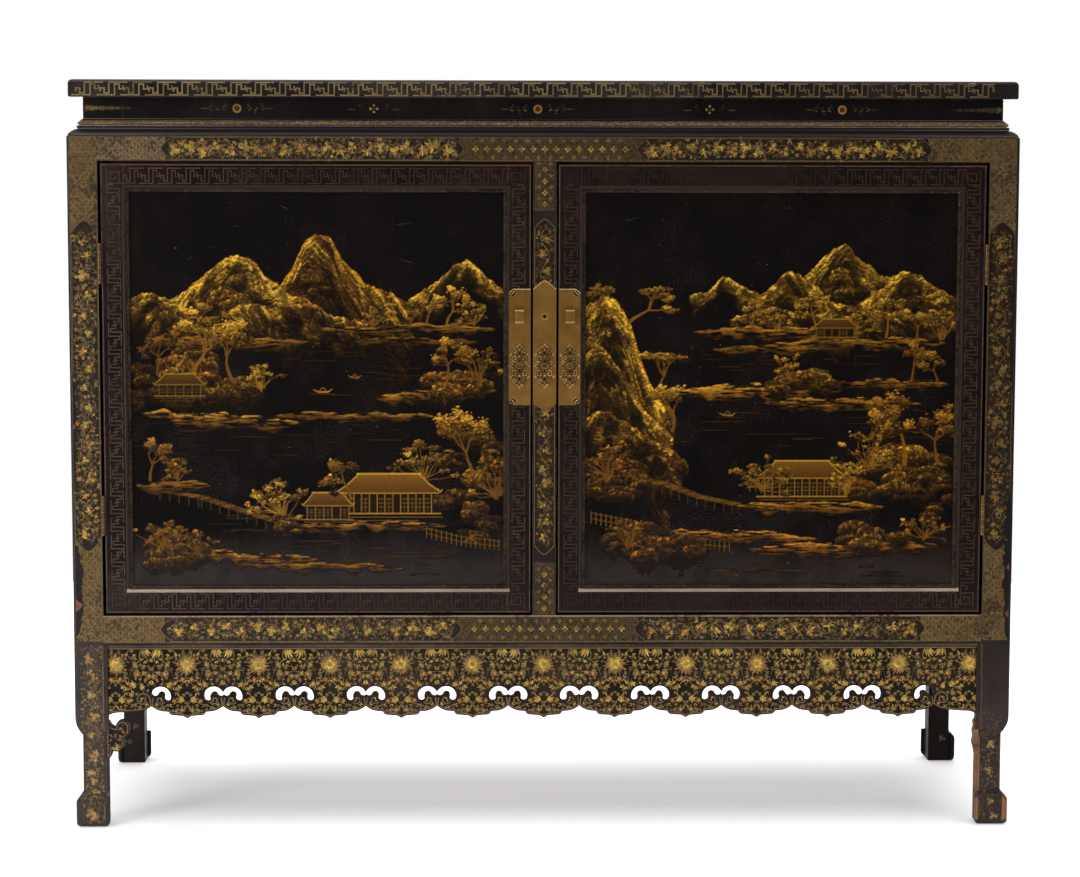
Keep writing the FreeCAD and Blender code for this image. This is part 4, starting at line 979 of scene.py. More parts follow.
def apron_unit(p, x, top, seed):
    """One lobe's pattern, mirrored about its middle: a blossom among scrolls, bells and little flowers."""
    rng = random.Random(seed)
    tones = (YELLOW, YELLOW, OLIVE, OLIVE, OLIVE, DULL, DULL, COPPER, ORANGE)
    sprigs = []
    for i in range(8):
        for j in range(16):
            dx = (i + 0.5 + rng.uniform(-0.42, 0.42)) * LOBE / 16
            dz = 4 + (j + 0.5 + rng.uniform(-0.42, 0.42)) * 6.2
            if math.hypot(dx, dz - 24) > 15:
                sprigs.append((dx, dz, rng.uniform(4.8, 7.4), rng.random() * TAU, rng.random(),
                               rng.choice(tones), rng.choice((-1, 1))))
    for sign in (-1, 1):
        def place(dx, dz):
            return (x + sign * dx, top - dz)

        def turn(angle):
            return angle if sign > 0 else math.pi - angle

        for curve in STEMS:
            p.stroke([place(*q) for q in bend(*curve)], 1.0, OLIVE, 0.08, taper=True)
        for dx, dz, size, angle, kind, color, way in sprigs:
            a, b = place(dx, dz)
            if kind < 0.42:
                p.curl(a, b, turn(angle), size * 0.50, way * sign, size * 0.10 + 0.4, color, 1.1, 0.12)
            elif kind < 0.86:
                for k in (-0.9, -0.1, 0.7):
                    p.leaf(a, b, turn(angle + k), size * 0.72, size * 0.30, color, 0.4 * sign, 0.14)
            else:
                p.flower(a, b, size * 0.46, 5, color, YELLOW, turn(angle), 0.15)
        p.fill([place(*q) for q in ((34, 3), (49, 3), (49, 15), (42, 17), (35, 13))], INK, 0.16)
        for dx, angle, length, color in BELL:
            p.leaf(*place(dx, 2.6), turn(-math.pi / 2 + angle), length * p.rng.uniform(0.8, 1.1), 3.0, color,
                   0.5 * sign, 0.20)
        for dx, dz, r, color in BLOOMS:
            p.flower(*place(dx, dz), r, 6, color, OLIVE if color is DULL else BRIGHT, turn(0.4), 0.20)
        for k in (-0.5, 0.1, 0.6):
            p.leaf(*place(4, 74), turn(k), 9.5, 3.0, YELLOW, 0.3 * sign, 0.18)
    blossom(p, x, top - 24, 14.5)


def cusp_scrolls(p, x, z):
    """A pair of volutes that rise from the point between two lobes and curl apart."""
    for sign in (-1, 1):
        run = [(x + sign * 1.0, z + 2.0)]
        for q in [k / 25 for k in range(26)]:
            r, turn = 10.4 * (1 - 0.72 * q), math.pi * (1.0 - 2.4 * q)
            run.append((x + sign * (12.2 + r * math.cos(turn)), z + 9.0 + r * math.sin(turn)))
        p.stroke(run, 4.4, INK, 0.25)
        p.stroke(run, 1.3, (124, 102, 72, 0.8), 0.29)


def paint_aprons():
    """The same lobes along the front and the two end aprons, inside a line that follows their edge."""
    top, cusp_z, pierced_width = span("front_apron")[2][1] - 6.5, 170.0, 200
    for side, face, lobes, middle, seed, material, corner in (
            ("front", APRON_FACE, range(-6, 7), 0.0, 31, GOLD, 170),
            ("left", span("left_apron")[0][0], range(-2, 3), MIDDLE_Y, 33, GOLD_WORN, 200),
            ("right", span("right_apron")[0][1], range(-2, 3), MIDDLE_Y, 35, GOLD_WORN, 200)):
        name, across = side + "_apron", 0 if side == "front" else 1
        low, high = span(name)[across]
        loops = outline_of(name, 1 - across, face)
        p = Paint(name + "_painting", "case", side, face, seed, material)
        p.mask = Mask(loops, 2.6)
        for k in lobes:
            apron_unit(p, middle + k * LOBE, top, seed + 7)
        p.mask = Mask(loops, 0.5)
        for k in lobes[:-1]:
            cusp_scrolls(p, middle + (k + 0.5) * LOBE, cusp_z)
        for loop in loops:
            if max(q[0] for q in loop) - min(q[0] for q in loop) > pierced_width:
                inset_line(p, loop, 2.2, 1.3, COPPER, 0.1, lambda q: q[1] < top - 4)
        p.path([(low + 4, corner), (low + 4, top - 1.6), (high - 4, top - 1.6), (high - 4, corner)], 1.3,
               (118, 98, 58, 0.8), 0.28)
        p.build()


# The legs' flowers: the growth on the left leg, the rubbed growth on the right one and the flower heads.
SOFT = ((102, 85, 57, 0.7), (90, 75, 50, 0.7), (79, 66, 49, 0.5), (101, 76, 53, 0.6), (112, 93, 64, 0.8),
        (87, 65, 51, 0.5))
RUBBED = ((84, 72, 54, 0.5), (72, 62, 50, 0.4), (66, 56, 46, 0.3), (92, 80, 58, 0.6))
HEADS = ((150, 126, 80, 0.9), (134, 104, 66, 0.8), (160, 136, 88, 0.9), (140, 98, 62, 0.8))


def paint_legs():
    """A close growth of flowers down the front legs, rubbed on the right one, and a few on the rear ones."""
    p = Paint("front_leg_painting", "case", "front", FRONT, 41, GOLD_WORN)
    for side, name, flowers in (
            (-1, "post_front_left", ((218, 7), (188, 8), (98, 9), (64, 7), (16, 8))),
            (1, "post_front_right", ((112, 8), (76, 8.5), (34, 7), (13, 7)))):
        p.onto(name)
        x = side * POST_MIDDLE
        if side > 0:
            touches(p, vertical(x, 84), 154, 14.5, 341, 4.6, 5.8, RUBBED)
        else:
            touches(p, vertical(x, 132), 250, 14.5, 339, 4.3, 5.4, SOFT)
            vine(p, vertical(x, 132), 244, 13.5, 342, 7.0, 6.2, 26, SOFT + (OLIVE,), HEADS)
        for z, r in flowers:
            cluster(p, x + p.rng.uniform(-4, 4), z, r, p.rng, HEADS)
        p.stroke([(side * (POST_IN + 1.8), z) for z in np.linspace(10, 256, 60)], 1.3, DULL, 0.1)
    p.build()

    p = Paint("rear_leg_painting", "case", "front", BACK_POST_FACE, 47, GOLD_WORN)
    for name, x, z, r in (("post_back_left", -622, 58, 6.5), ("post_back_left", -632, 33, 5.5),
                          ("post_back_right", 630, 36, 6.5)):
        p.onto(name)
        cluster(p, x, z, r, p.rng, RUBBED)
    p.build()


def wear_legs():
    """Bare wood in narrow strips down the right leg's edges, and the front legs' inner faces rubbed bare."""
    p = Paint("front_leg_wear", "case", "front", FRONT, 43, BARE_PAINT)
    p.onto("post_front_right", margin=0.0)
    for x, z0, z1, lines, step, color in ((POST_IN + 0.5, 45.5, 128, 3, 0.8, (134, 96, 70, 0.0)),
                                          (POST_IN - 4.4, 5, 46, 7, 0.7, (124, 90, 68, 0.0)),
                                          (HALF - 7.6, 6, 43, 8, 0.9, (132, 94, 68, 0.0)),
                                          (HALF - 11.2, 50, 124, 3, 0.6, (112, 72, 54, 0.0))):
        for k in range(lines):
            low, high = z0 + p.rng.uniform(0, 3), z1 - p.rng.uniform(0, 5)
            p.stroke([(x + k * step, z) for z in np.linspace(low, high, int((high - low) / 3))], step * 1.25,
                     color, 0.12)
    p.build()
    for side, name, face, color in ((-1, "post_front_left", "right", (72, 56, 50, 0.0)),
                                    (1, "post_front_right", "left", (136, 94, 66, 0.0))):
        p = Paint(name + "_inner_face", "case", face, side * POST_IN, 45 + side, BARE_PAINT)
        p.onto(name, margin=0.2)
        for y in np.arange(FRONT + 11.0, FRONT + 41.0, 3.2):
            for z in np.arange(46.0, 146.0, 9.0):
                p.stroke([(y, z - 0.8), (y, z + 4.5), (y, z + 9.8)], 3.8, color, 0.1)
        p.build()


def paint_bracket():
    """A line along the left bracket's edge, and flowers inside it."""
    p = Paint("front_bracket_painting", "case", "front", APRON_FACE, 42, GOLD)
    p.onto("front_scroll_bracket", margin=0.8)
    for loop in outline_of("front_scroll_bracket", 1, APRON_FACE):
        inset_line(p, loop, 2.6, 1.2, (104, 86, 64, 0.6), 0.16)
    touches(p, vertical(-592, 123), 50, 16, 44, 4.6, 5.0, SOFT)
    cluster(p, -594.0, 110.0, 8.0, p.rng, HEADS)
    p.build()


# ---------------------------------------------------------------- ends and top, which the photo doesn't show
def flower_branch(p, x, z, size, seed):
    """A branch of chrysanthemums with leaves, rising from (x, z)."""
    rng = random.Random(seed)
    p.rng.seed(seed)
    stems = (((0, 0), (-0.16, 0.30), (0.05, 0.62)), ((0.05, 0.62), (0.14, 0.82), (-0.02, 1.02)),
             ((-0.03, 0.20), (0.18, 0.30), (0.27, 0.50)), ((-0.06, 0.34), (-0.26, 0.42), (-0.28, 0.66)),
             ((0.02, 0.52), (0.22, 0.62), (0.24, 0.84)), ((0.05, 0.66), (-0.12, 0.76), (-0.20, 0.92)),
             ((0, 0.02), (0.14, 0.10), (0.25, 0.24)), ((0, 0.06), (-0.16, 0.10), (-0.26, 0.26)))
    for stem in stems:
        line = [(x + q[0] * size, z + q[1] * size) for q in bend(*stem, 18)]
        p.stroke(line, [size * (0.014 - 0.008 * k / 18) for k in range(19)], ORANGE, 0.08)
        for k in range(2, 18, 2):
            angle = math.atan2(line[k][1] - line[k - 1][1], line[k][0] - line[k - 1][0])
            for way in (-1, 1):
                if rng.random() < 0.72:
                    p.leaf(*line[k], angle + way * rng.uniform(0.5, 1.1), size * rng.uniform(0.05, 0.10),
                           size * rng.uniform(0.022, 0.036), rng.choice((OLIVE, DULL, YELLOW, ORANGE)),
                           way * 0.4, 0.10)
        blossom(p, *line[-1], size * rng.uniform(0.046, 0.066))


def paint_ends():
    """The front's bands and lattice again, and a branch in a fret border on each end panel."""
    front_in, back_in = FRONT + 41.5, BACK_POST_FACE
    y0, y1, z0, z1 = front_in + 30, back_in - 30, OPEN_LOW + 30, OPEN_TOP - 30
    for side, sign in (("left", -1), ("right", 1)):
        p = Paint(side + "_end_painting", "case", side, sign * HALF, 61, GOLD_WORN)
        for low, high in ((OPEN_TOP, CASE_TOP - 1.0), (RAIL_LOW + 1.0, OPEN_LOW)):
            paint_rails(p, low, high, ((-118.0, 126.0),), (front_in, back_in), 400 + int(low))
        for near, far in ((FRONT + 4.4, front_in), (back_in, BACK - 4.4)):
            for low, high in POST_LATTICES:
                lattice(p, near, far, low, high)
            band(p, vertical((near + far) / 2, 615), 454, min(17.4, (far - near) / 2 - 2), 420 + sign)
        p.build()
        p = Paint(side + "_end_panel_painting", "case", side, sign * span("right_end_panel")[0][1], 62,
                  GOLD_WORN)
        fret_frame(p, y0 - 22, y1 + 22, z0 - 22, z1 + 22, 16.0, 16.0, 1.3, DULL, 20.0)
        p.path(rectangle(y0, y1, z0, z1), 1.2, DULL, 0.08, closed=True)
        flower_branch(p, MIDDLE_Y - 4 * sign, OPEN_LOW + 62, 470.0, 71 + sign)
        for k in range(7):
            run = bend((y0 + 12 + 14 * k, z0 + 12), (MIDDLE_Y, z0 + 30 + 5 * k), (y1 - 14 - 11 * k, z0 + 10))
            p.stroke(run, 1.6, (DULL, ORANGE, OLIVE)[k % 3], 0.07, taper=True)
        p.build()
        p = Paint(side + "_leg_painting", "case", side, sign * HALF, 63, GOLD_WORN)
        p.onto("post_front_" + side, "post_back_" + side)
        for y in (FRONT + 24.0, BACK - 24.0):
            vine(p, vertical(y, 132), 244, 12.5, 430 + sign, 6.0, 6.2, 30,
                 (OLIVE, DULL, DULL, DIM, DIM, COPPER), (OLIVE, DULL, OLIVE, DULL))
        p.build()


def paint_top():
    """A fret border on the frame and three branches on the panel."""
    p = Paint("top_painting", "case", "top", TOP_HIGH, 64, GOLD_WORN)
    y0, y1 = TOP_FACE, span("top_frame")[1][1]
    fret_frame(p, -TOP_HALF + 12, TOP_HALF - 12, y0 + 12, y1 - 12, 20.0, 20.0, 1.7, DULL, 26.0)
    for inset, width in ((7.6, 1.3), (38.0, 1.1)):
        corners = rectangle(-TOP_HALF + inset, TOP_HALF - inset, y0 + inset, y1 - inset)
        p.path(corners, width, DULL, 0.08, closed=True)
    p.build()
    p = Paint("top_panel_painting", "case", "top", span("top_panel")[2][1], 65, GOLD_WORN)
    for i in (-1, 0, 1):
        flower_branch(p, i * 330.0, span("top_panel")[1][0] + 34, 235.0, 75 + i)
    p.build()


# ---------------------------------------------------------------- door frames
def paint_doors():
    """Frets on the frames, rubbed along the rails away from the hinges, and more so on the right door, whose
    fret colour is also darker as painted shade; a pale line round each door's edge is a painted highlight.
    """
    # the right door's fret colour is darker than the left's: painted shade, as if lit from the left
    for side, body, gold, rail_loss in ((-1, "left_door", (76, 62, 47, 0.35), 0.55),
                                        (1, "right_door", (66, 52, 39, 0.3), 0.8)):
        p = Paint(body + "_fret", body, "front", FRONT, 51, GOLD_WORN)

        def faded(x, z):
            on_rail = min(z - DOOR_LOW, DOOR_HIGH - z) < 30.0
            away = min(1.0, max(0.0, (DOOR_OUT - side * x - 90.0) / 160.0))
            keep = (1.0 - away * (rail_loss if on_rail else 0.25)) * p.rng.uniform(0.8, 1.0)
            return tuple(dark + (lit - dark) * keep for dark, lit in zip((34, 25, 23, 0.0), gold))

        x0, x1 = sorted((side * DOOR_IN, side * DOOR_OUT))
        fret_frame(p, x0 + 8.6, x1 - 8.6, DOOR_LOW + 6.0, DOOR_HIGH - 6.0, 17.2, 20.4, 1.4, faded)
        # painted highlight: a pale line along each door's rounded edge
        p.path(rectangle(x0 + 1.3, x1 - 1.3, DOOR_LOW + 1.3, DOOR_HIGH - 1.3), 1.6, (74, 62, 54, 0.1), 0.05,
               closed=True)
        p.build()


def sight_beads():
    """A planted bead over the joint of each door's frame and panel moulding."""
    profile = ((-2.9, 0.0), (-2.8, 0.7), (-2.2, 1.35), (-1.2, 1.7), (-0.1, 1.7), (0.9, 1.35), (1.5, 0.7),
               (1.6, -0.8))
    for side, body in DOORS:
        x0, x1 = sorted((side * MOULD_X[0], side * MOULD_X[1]))
        points = [(x * MM, (FRONT - rise) * MM, z * MM) for d, rise in profile
                  for x, z in rectangle(x0 + d, x1 - d, MOULD_Z[0] + d, MOULD_Z[1] - d)]
        faces = [(4 * k + c, 4 * k + (c + 1) % 4, 4 * k + (c + 1) % 4 + 4, 4 * k + c + 4)
                 for k in range(len(profile) - 1) for c in range(4)]
        mesh = bpy.data.meshes.new(body + "_sight_bead")
        mesh.from_pydata(points, [], faces, shade_flat=False)
        add_piece(mesh, body, SIGHT_BEAD)


# ---------------------------------------------------------------- gold landscapes
# A canvas covers the panel inside its moulding by the inset, with a point in each cell, both in millimetres.
PANEL_INSET = 6.5
CELL = 1.15


def fbm(x, y, seed, octaves=4):
    """Smooth layered noise from 0 to 1."""
    table = np.random.RandomState(seed).rand(64, 64)
    total, amp, norm = 0.0, 0.5, 0.0
    for _ in range(octaves):
        xi, yi = np.floor(x).astype(int), np.floor(y).astype(int)
        fx, fy = x - xi, y - yi
        fx, fy = fx * fx * (3 - 2 * fx), fy * fy * (3 - 2 * fy)
        a, b = table[yi & 63, xi & 63], table[yi & 63, (xi + 1) & 63]
        c, d = table[(yi + 1) & 63, xi & 63], table[(yi + 1) & 63, (xi + 1) & 63]
        total = total + amp * (a + (b - a) * fx + (c - a) * fy + (a - b - c + d) * fx * fy)
        norm += amp
        x, y, amp = x * 2.03 + 17.1, y * 2.03 + 9.7, amp * 0.5
    return total / norm


def smooth(value, low, high):
    """0 below low, 1 above high and a soft step between them."""
    t = np.clip((value - low) / (high - low), 0, 1)
    return t * t * (3 - 2 * t)


class Canvas:
    """Sprinkled gold on a grid of points: how light it is, and how far from yellow to red-brown."""

    def __init__(self, width, height, cell):
        self.cell = cell
        self.u = np.linspace(0, width, int(round(width / cell)) + 1)
        self.v = np.linspace(0, height, int(round(height / cell)) + 1)
        self.light = np.zeros((len(self.v), len(self.u)))
        self.hue = np.full(self.light.shape, 0.5)

    def window(self, u0, u1, v0, v1):
        """The part of the grid inside these limits: its slices, and its points' u and v."""
        i0, i1 = np.searchsorted(self.u, (u0, u1))
        j0, j1 = np.searchsorted(self.v, (v0, v1))
        rows, cols = slice(j0, max(j1, j0)), slice(i0, max(i1, i0))
        return (rows, cols), *np.meshgrid(self.u[cols], self.v[rows])

    def blend(self, at, cover, light, hue):
        """Lays a tone over a part of the grid; cover goes from 0, untouched, to 1."""
        self.light[at] = self.light[at] * (1 - cover) + light * cover
        self.hue[at] = self.hue[at] * (1 - cover) + hue * cover

    def lobe(self, u, v, w, h, fade, light, hue, seed, lean=0.35, rough=1.0):
        """A rock face: its upper edge catches the light, and it fades downwards."""
        at, x, y = self.window(u - 1.15 * w, u + 1.15 * w, v - fade * 1.6, v + h * 1.5)
        wobble = fbm(x / (0.45 * w) + 3, y / (0.8 * h + 4), seed, 4) - 0.5
        s = (x - u) / w + 0.35 * wobble
        top = v + h * np.sqrt(np.clip(1 - np.abs(s) ** 2.3, 0, 1)) + rough * h * 0.55 * wobble
        depth = top - y
        wide = smooth(1.0 - np.abs(s), 0.0, 0.18)
        body = smooth(depth, 0.0, 1.6) * wide
        rim = np.exp(-np.clip(depth, 0, None) / (0.30 * fade))
        wash = np.exp(-np.clip(depth, 0, None) / (0.85 * fade))
        streak = fbm((x + 0.5 * y) / 10.0 + s * 2, (y - 0.3 * x) / 9.0, seed + 5, 4)
        grain = fbm(x / 2.2, y / 2.2, seed + 9, 2)
        layer = (2.4 * fbm(x / 15 + 2, y / 12, seed + 5, 2) + depth / (0.45 * fade + 5)) % 1.0
        lip = (1 - layer) ** 2.2 * smooth(layer, 0.0, 0.08)
        shade = (0.58 * rim + 0.62 * lip * wash) * (1 - lean * s) * (0.35 + 1.1 * streak)
        value = light * (0.16 * wash + shade) * (0.45 + smooth(grain, 0.2, 0.8))
        under = np.abs(s) + np.clip(depth, 0, None) / (1.25 * fade)
        cover = body * (1 - smooth(depth, 0.75 * fade, 1.5 * fade)) * (1 - smooth(under, 0.80, 1.45))
        self.blend(at, cover, value, hue + 0.10 + 0.40 * smooth(depth, 0, fade * 0.8) - 0.45 * lip)

    def ridge(self, points, depth, light, hue, seed, slant=0.9, rough=5.0):
        """A hillside: a broken bright crest along the points, and folds that fade down into the dark."""
        xs, ys = zip(*points)
        at, x, y = self.window(xs[0], xs[-1], min(ys) - 1.5 * depth, max(ys) + 3 * rough)
        s = (x - xs[0]) / (xs[-1] - xs[0])
        ends = smooth(s, 0, 0.10) * smooth(1 - s, 0, 0.10)
        top = sum(np.interp(x + k, xs, ys) for k in (-7, -3, 0, 3, 7)) / 5
        crag = fbm(x / 17, x * 0 + 5, seed, 4) - 0.5
        top = top + rough * 2.4 * crag + 1.1 * rough * (fbm(x / 6.5, x * 0 + 1, seed + 1, 3) - 0.5)
        down = np.clip(top - y, 0, None)
        deep = depth * (0.35 + 1.1 * fbm(x / 24, x * 0 + 3, seed + 2, 3)) * (0.3 + 0.7 * ends)
        fold = fbm((x + slant * down) / 15, (down - 0.4 * x) / 30, seed + 4, 4)
        bulge = fbm((x + slant * down) / 23, down / 19, seed + 6, 2)
        layer = (3.4 * bulge + down / (0.42 * deep + 9)) % 1.0
        lip = (1 - layer) ** 2.2 * smooth(layer, 0.0, 0.06)
        lit = smooth(fold, 0.34, 0.64)
        grain = fbm(x / 2.3, y / 1.5, seed + 9, 3)
        fall = np.exp(-down / (0.75 * deep))
        shade = fall * (0.13 + 0.42 * lit + 0.62 * lip * (0.35 + lit))
        value = light * (0.62 * np.exp(-down / (0.07 * deep + 1.4)) + shade)
        value = value * (0.42 + 1.05 * smooth(grain, 0.18, 0.80))
        above = 1 - smooth(down, 0.70 * deep, 1.35 * deep)
        cover = smooth(top - y, 0, 1.5) * above * smooth(ends, 0.0, 0.2)
        self.blend(at, cover, value, hue + 0.5 * smooth(down, 0, deep) + 0.15 - 0.55 * lip - 0.20 * lit)

    def massif(self, u, top, width, height, light, hue, seed, pieces=30, lean=0.35, skew=0.0):
        """A mountain heaped up from rock faces, back to front."""
        rng = random.Random(seed)
        items = [(top, u, width * 0.17, height * 0.28, 1.1)]
        for k in range(pieces):
            t = (k + 0.6) / pieces
            reach = width / 2 * (0.16 + 0.84 * t ** 0.85)
            x = u + skew * t * width + rng.uniform(-1, 1) * reach
            off = abs(x - u - skew * t * width) / (width / 2)
            z = top - height * (0.06 + 0.55 * t + 0.42 * off ** 1.2 * rng.uniform(0.7, 1.0))
            size = width * rng.uniform(0.07, 0.22) * (1 + 0.3 * t)
            items.append((z, x, size, size * rng.uniform(0.45, 0.95), rng.uniform(0.35, 1.15)))
        items.sort(reverse=True)
        for k, (z, x, w, h, share) in enumerate(items):
            self.lobe(x, z - h, w, h, h * rng.uniform(1.3, 2.3) + 5, light * share * rng.uniform(0.8, 1.1),
                      hue + rng.uniform(-0.12, 0.2), seed * 31 + k, lean)

    def shore(self, u0, u1, v, thick, light, hue, seed, rise=0.0):
        """A low bank: a broken bright top and short level strokes under it."""
        at, x, y = self.window(u0, u1, v - thick * 2.4 - abs(rise), v + thick * 1.8 + abs(rise))
        s = (x - u0) / (u1 - u0)
        ends = smooth(s, 0, 0.22) * smooth(1 - s, 0, 0.22)
        top = v + rise * s + thick * ends * (0.2 + 1.5 * (fbm(x / 21, y * 0 + 2, seed, 3) - 0.2))
        depth = top - y
        tail = thick * (0.8 + 1.3 * fbm(x / 16, y * 0 + 7, seed + 3, 3)) * (0.25 + ends)
        level = fbm(x / 15, y / 1.7, seed + 4, 3)
        value = light * (0.40 + 0.95 * np.exp(-np.clip(depth, 0, None) / (0.5 * tail + 0.5)))
        value = value * smooth(level, 0.30, 0.62) * (0.7 + 0.6 * fbm(x / 2.4, y / 1.4, seed + 6, 2))
        cover = smooth(depth, 0, 1.2) * (1 - smooth(depth, 0.8 * tail, 1.25 * tail)) * smooth(ends, 0.0, 0.12)
        self.blend(at, cover * 0.97, value, hue + 0.35 * smooth(depth, 0, tail))

    def line(self, points, width, light, hue, soft=0.9):
        """A brush line; width is one number or one for each point."""
        p = np.asarray(points, float)
        widths = np.full(len(p), width, float) if np.isscalar(width) else np.asarray(width, float)
        for a, b, w0, w1 in zip(p[:-1], p[1:], widths[:-1], widths[1:]):
            reach = max(w0, w1) / 2 + 1.6
            low, high = np.minimum(a, b) - reach, np.maximum(a, b) + reach
            at, x, y = self.window(low[0], high[0], low[1], high[1])
            d = b - a
            t = np.clip(((x - a[0]) * d[0] + (y - a[1]) * d[1]) / max(d @ d, 1e-9), 0, 1)
            away = np.hypot(x - a[0] - t * d[0], y - a[1] - t * d[1]) - (w0 + (w1 - w0) * t) / 2
            cover = 1 - smooth(away, -0.45 * soft, 0.75 * soft)
            self.blend(at, cover, light, hue)

    def dabs(self, spots):
        """Small soft touches: (u, v, radius, light, hue, squash)."""
        for u, v, r, light, hue, squash in spots:
            reach = 1.8 * r + 0.8
            at, x, y = self.window(u - reach, u + reach, v - reach, v + reach)
            away = np.hypot(x - u, (y - v) / squash) / r
            cover = 1 - smooth(away, 0.55, 1.45)
            self.blend(at, cover, light, hue)

    def foliage(self, u, v, w, h, count, light, hue, rng, size=1.7):
        """A clump of small dabs, lightest at its upper left, over a few dark ones."""
        knots = [(rng.gauss(0, 0.42), rng.gauss(0, 0.36)) for _ in range(max(3, count // 26))]
        spots = [(u + kx * w, v + ky * h - 0.08 * h, 0.30 * w, 0.26 * light, hue + 0.35, 0.7 * h / w)
                 for kx, ky in knots]
        for _ in range(int(1.5 * count)):
            kx, ky = rng.choice(knots)
            x = kx + rng.gauss(0, 0.17)
            y = ky + rng.gauss(0, 0.17)
            lit = 0.72 + 0.6 * y - 0.25 * x + rng.uniform(-0.50, 0.42)
            spots.append((u + x * w, v + y * h, size * rng.uniform(0.5, 1.2), max(0.05, light * lit),
                          hue + rng.uniform(-0.25, 0.40) - 0.15 * y, rng.uniform(0.45, 0.8)))
        self.dabs(spots)

    def branch(self, u, v, angle, length, width, light, hue, rng, depth, tips):
        """A limb that forks depth times; the ends of its last twigs are added to tips."""
        points, widths = [(u, v)], [width]
        for k in range(4):
            angle += rng.uniform(-0.28, 0.28)
            u += length / 4 * math.cos(angle)
            v += length / 4 * math.sin(angle)
            points.append((u, v))
            widths.append(width * (1 - 0.14 * (k + 1)))
        self.line(points, widths, light, hue)
        if depth == 0:
            tips.append((u, v))
            return
        for turn in rng.sample((-0.85, -0.4, 0.1, 0.5, 0.9), 3 if depth > 1 else 2):
            self.branch(u, v, angle + turn * rng.uniform(0.7, 1.1), length * rng.uniform(0.5, 0.72),
                        width * 0.55, light * 0.95, hue, rng, depth - 1, tips)

    def tree(self, u, v, size, seed, light=0.8, hue=0.15, lean=0.0, kind="round"):
        """A tree of a kind: brush is a tuft of thin stems, pine has flat tiers and round has full ones."""
        rng = random.Random(seed)
        tips = []
        trunk = (light * 0.75, hue + 0.25)
        if kind == "brush":
            for _ in range(int(8 + size * 0.22)):
                angle = math.pi / 2 + lean + rng.gauss(0, 0.62)
                reach = size * rng.uniform(0.4, 0.85)
                x, y = u + rng.gauss(0, size * 0.05), v + rng.uniform(0, 0.12) * size
                mid = (x + reach * 0.5 * math.cos(angle), y + reach * 0.5 * math.sin(angle))
                turned = angle + rng.uniform(-0.5, 0.5)
                end = (mid[0] + reach * 0.5 * math.cos(turned), mid[1] + reach * 0.5 * math.sin(turned))
                self.line([(x, y), mid, end], (1.1, 0.7, 0.3), light * rng.uniform(0.5, 1.0), hue + 0.1, 1.1)
                tips.append(end)
            self.line([(u, v - 1), (u + 2, v + size * 0.3)], (2.2, 1.2), *trunk)
            for x, y in tips:
                self.foliage(x, y, size * 0.20, size * 0.14, int(14 + size * 0.3),
                             light * rng.uniform(0.7, 1.15), hue, rng, 1.35)
            return
        self.branch(u, v, math.pi / 2 + lean, size * 0.42, size * 0.055 + 0.9, *trunk, rng, 2, tips)
        flat = 0.34 if kind == "pine" else 0.75
        for x, y in tips:
            spread = size * rng.uniform(0.22, 0.32)
            self.foliage(x, y + spread * 0.2, spread, spread * flat, int(30 + size * 0.8),
                         light * rng.uniform(0.75, 1.15), hue + rng.uniform(-0.1, 0.15), rng,
                         1.4 + size * 0.005)

    def hall(self, u, v, w, h, seed, light=0.75):
        """A garden hall: tiled roof with lifted eaves, columns, latticed screens and a terrace."""
        rng = random.Random(seed)
        roof, wall = h * 0.42, h * 0.46
        base = v + h * 0.12
        at, x, y = self.window(u - w * 0.62, u + w * 0.62, v - 2, v + h * 1.05)
        s = (x - u) / (w * 0.56)
        inside = (np.abs(x - u) < w * 0.47) & (y > base) & (y < base + wall)
        self.blend(at, inside * 1.0, 0.04 + 0.10 * fbm(x / 3, y / 3, seed, 2), 0.7)
        eave = base + wall * 0.93 + roof * 0.16 * np.abs(s) ** 3
        ridge = base + wall + roof
        slope = (y - eave) / (ridge - eave + 1e-6)
        shape = (slope > 0) & (slope < 1) & (np.abs(s) < 1.0 - 0.42 * np.clip(slope, 0, 1))
        tiles = 0.5 + 0.5 * np.cos((x - u) * (1 + 0.5 * slope) * 2.3)
        self.blend(at, shape * 1.0, light * (0.34 + 0.30 * tiles + 0.22 * slope), 0.55 - 0.2 * slope)
        for side in (-1, 1):
            end = u + side * w * 0.56
            self.line([(u + side * w * 0.325, ridge), (u + side * w * 0.45, base + wall + roof * 0.42),
                       (end, base + wall + roof * 0.06), (end + side * 2.5, base + wall + roof * 0.2)],
                      (1.3, 1.2, 1.2, 0.6), light * 1.15, 0.08)
        self.line([(u - w * 0.34, ridge + 0.6), (u + w * 0.34, ridge + 0.6)], 1.7, light * 1.2, 0.05)
        self.line([(u - w * 0.54, base + wall), (u + w * 0.54, base + wall)], 1.2, light, 0.15)
        posts = max(4, int(w / 11))
        for k in range(posts + 1):
            x = u - w * 0.46 + w * 0.92 * k / posts
            self.line([(x, base), (x, base + wall)], 1.1, light * 0.85, 0.2)
            if k < posts and rng.random() < 0.66:
                step = w * 0.92 / posts
                for r in range(1, 4):
                    z = base + wall * (0.12 + 0.2 * r)
                    self.line([(x + 1.5, z), (x + step - 1.5, z)], 0.8, light * 0.6, 0.25)
                self.line([(x + step / 2, base + 2), (x + step / 2, base + wall * 0.75)], 0.7, light * 0.55,
                          0.3)
        self.line([(u - w * 0.56, base), (u + w * 0.56, base)], 1.5, light * 0.95, 0.12)
        self.line([(u - w * 0.52, v + h * 0.04), (u + w * 0.58, v + h * 0.04)], 1.0, light * 0.6, 0.3)
        for k in range(5):
            z = v - 2.4 - 2.8 * k
            reach = w * (0.5 - 0.05 * k)
            self.line([(u - reach + rng.uniform(0, 12), z), (u + reach * 0.6 + rng.uniform(0, 14), z)],
                      0.8, light * (0.55 - 0.08 * k), 0.35)

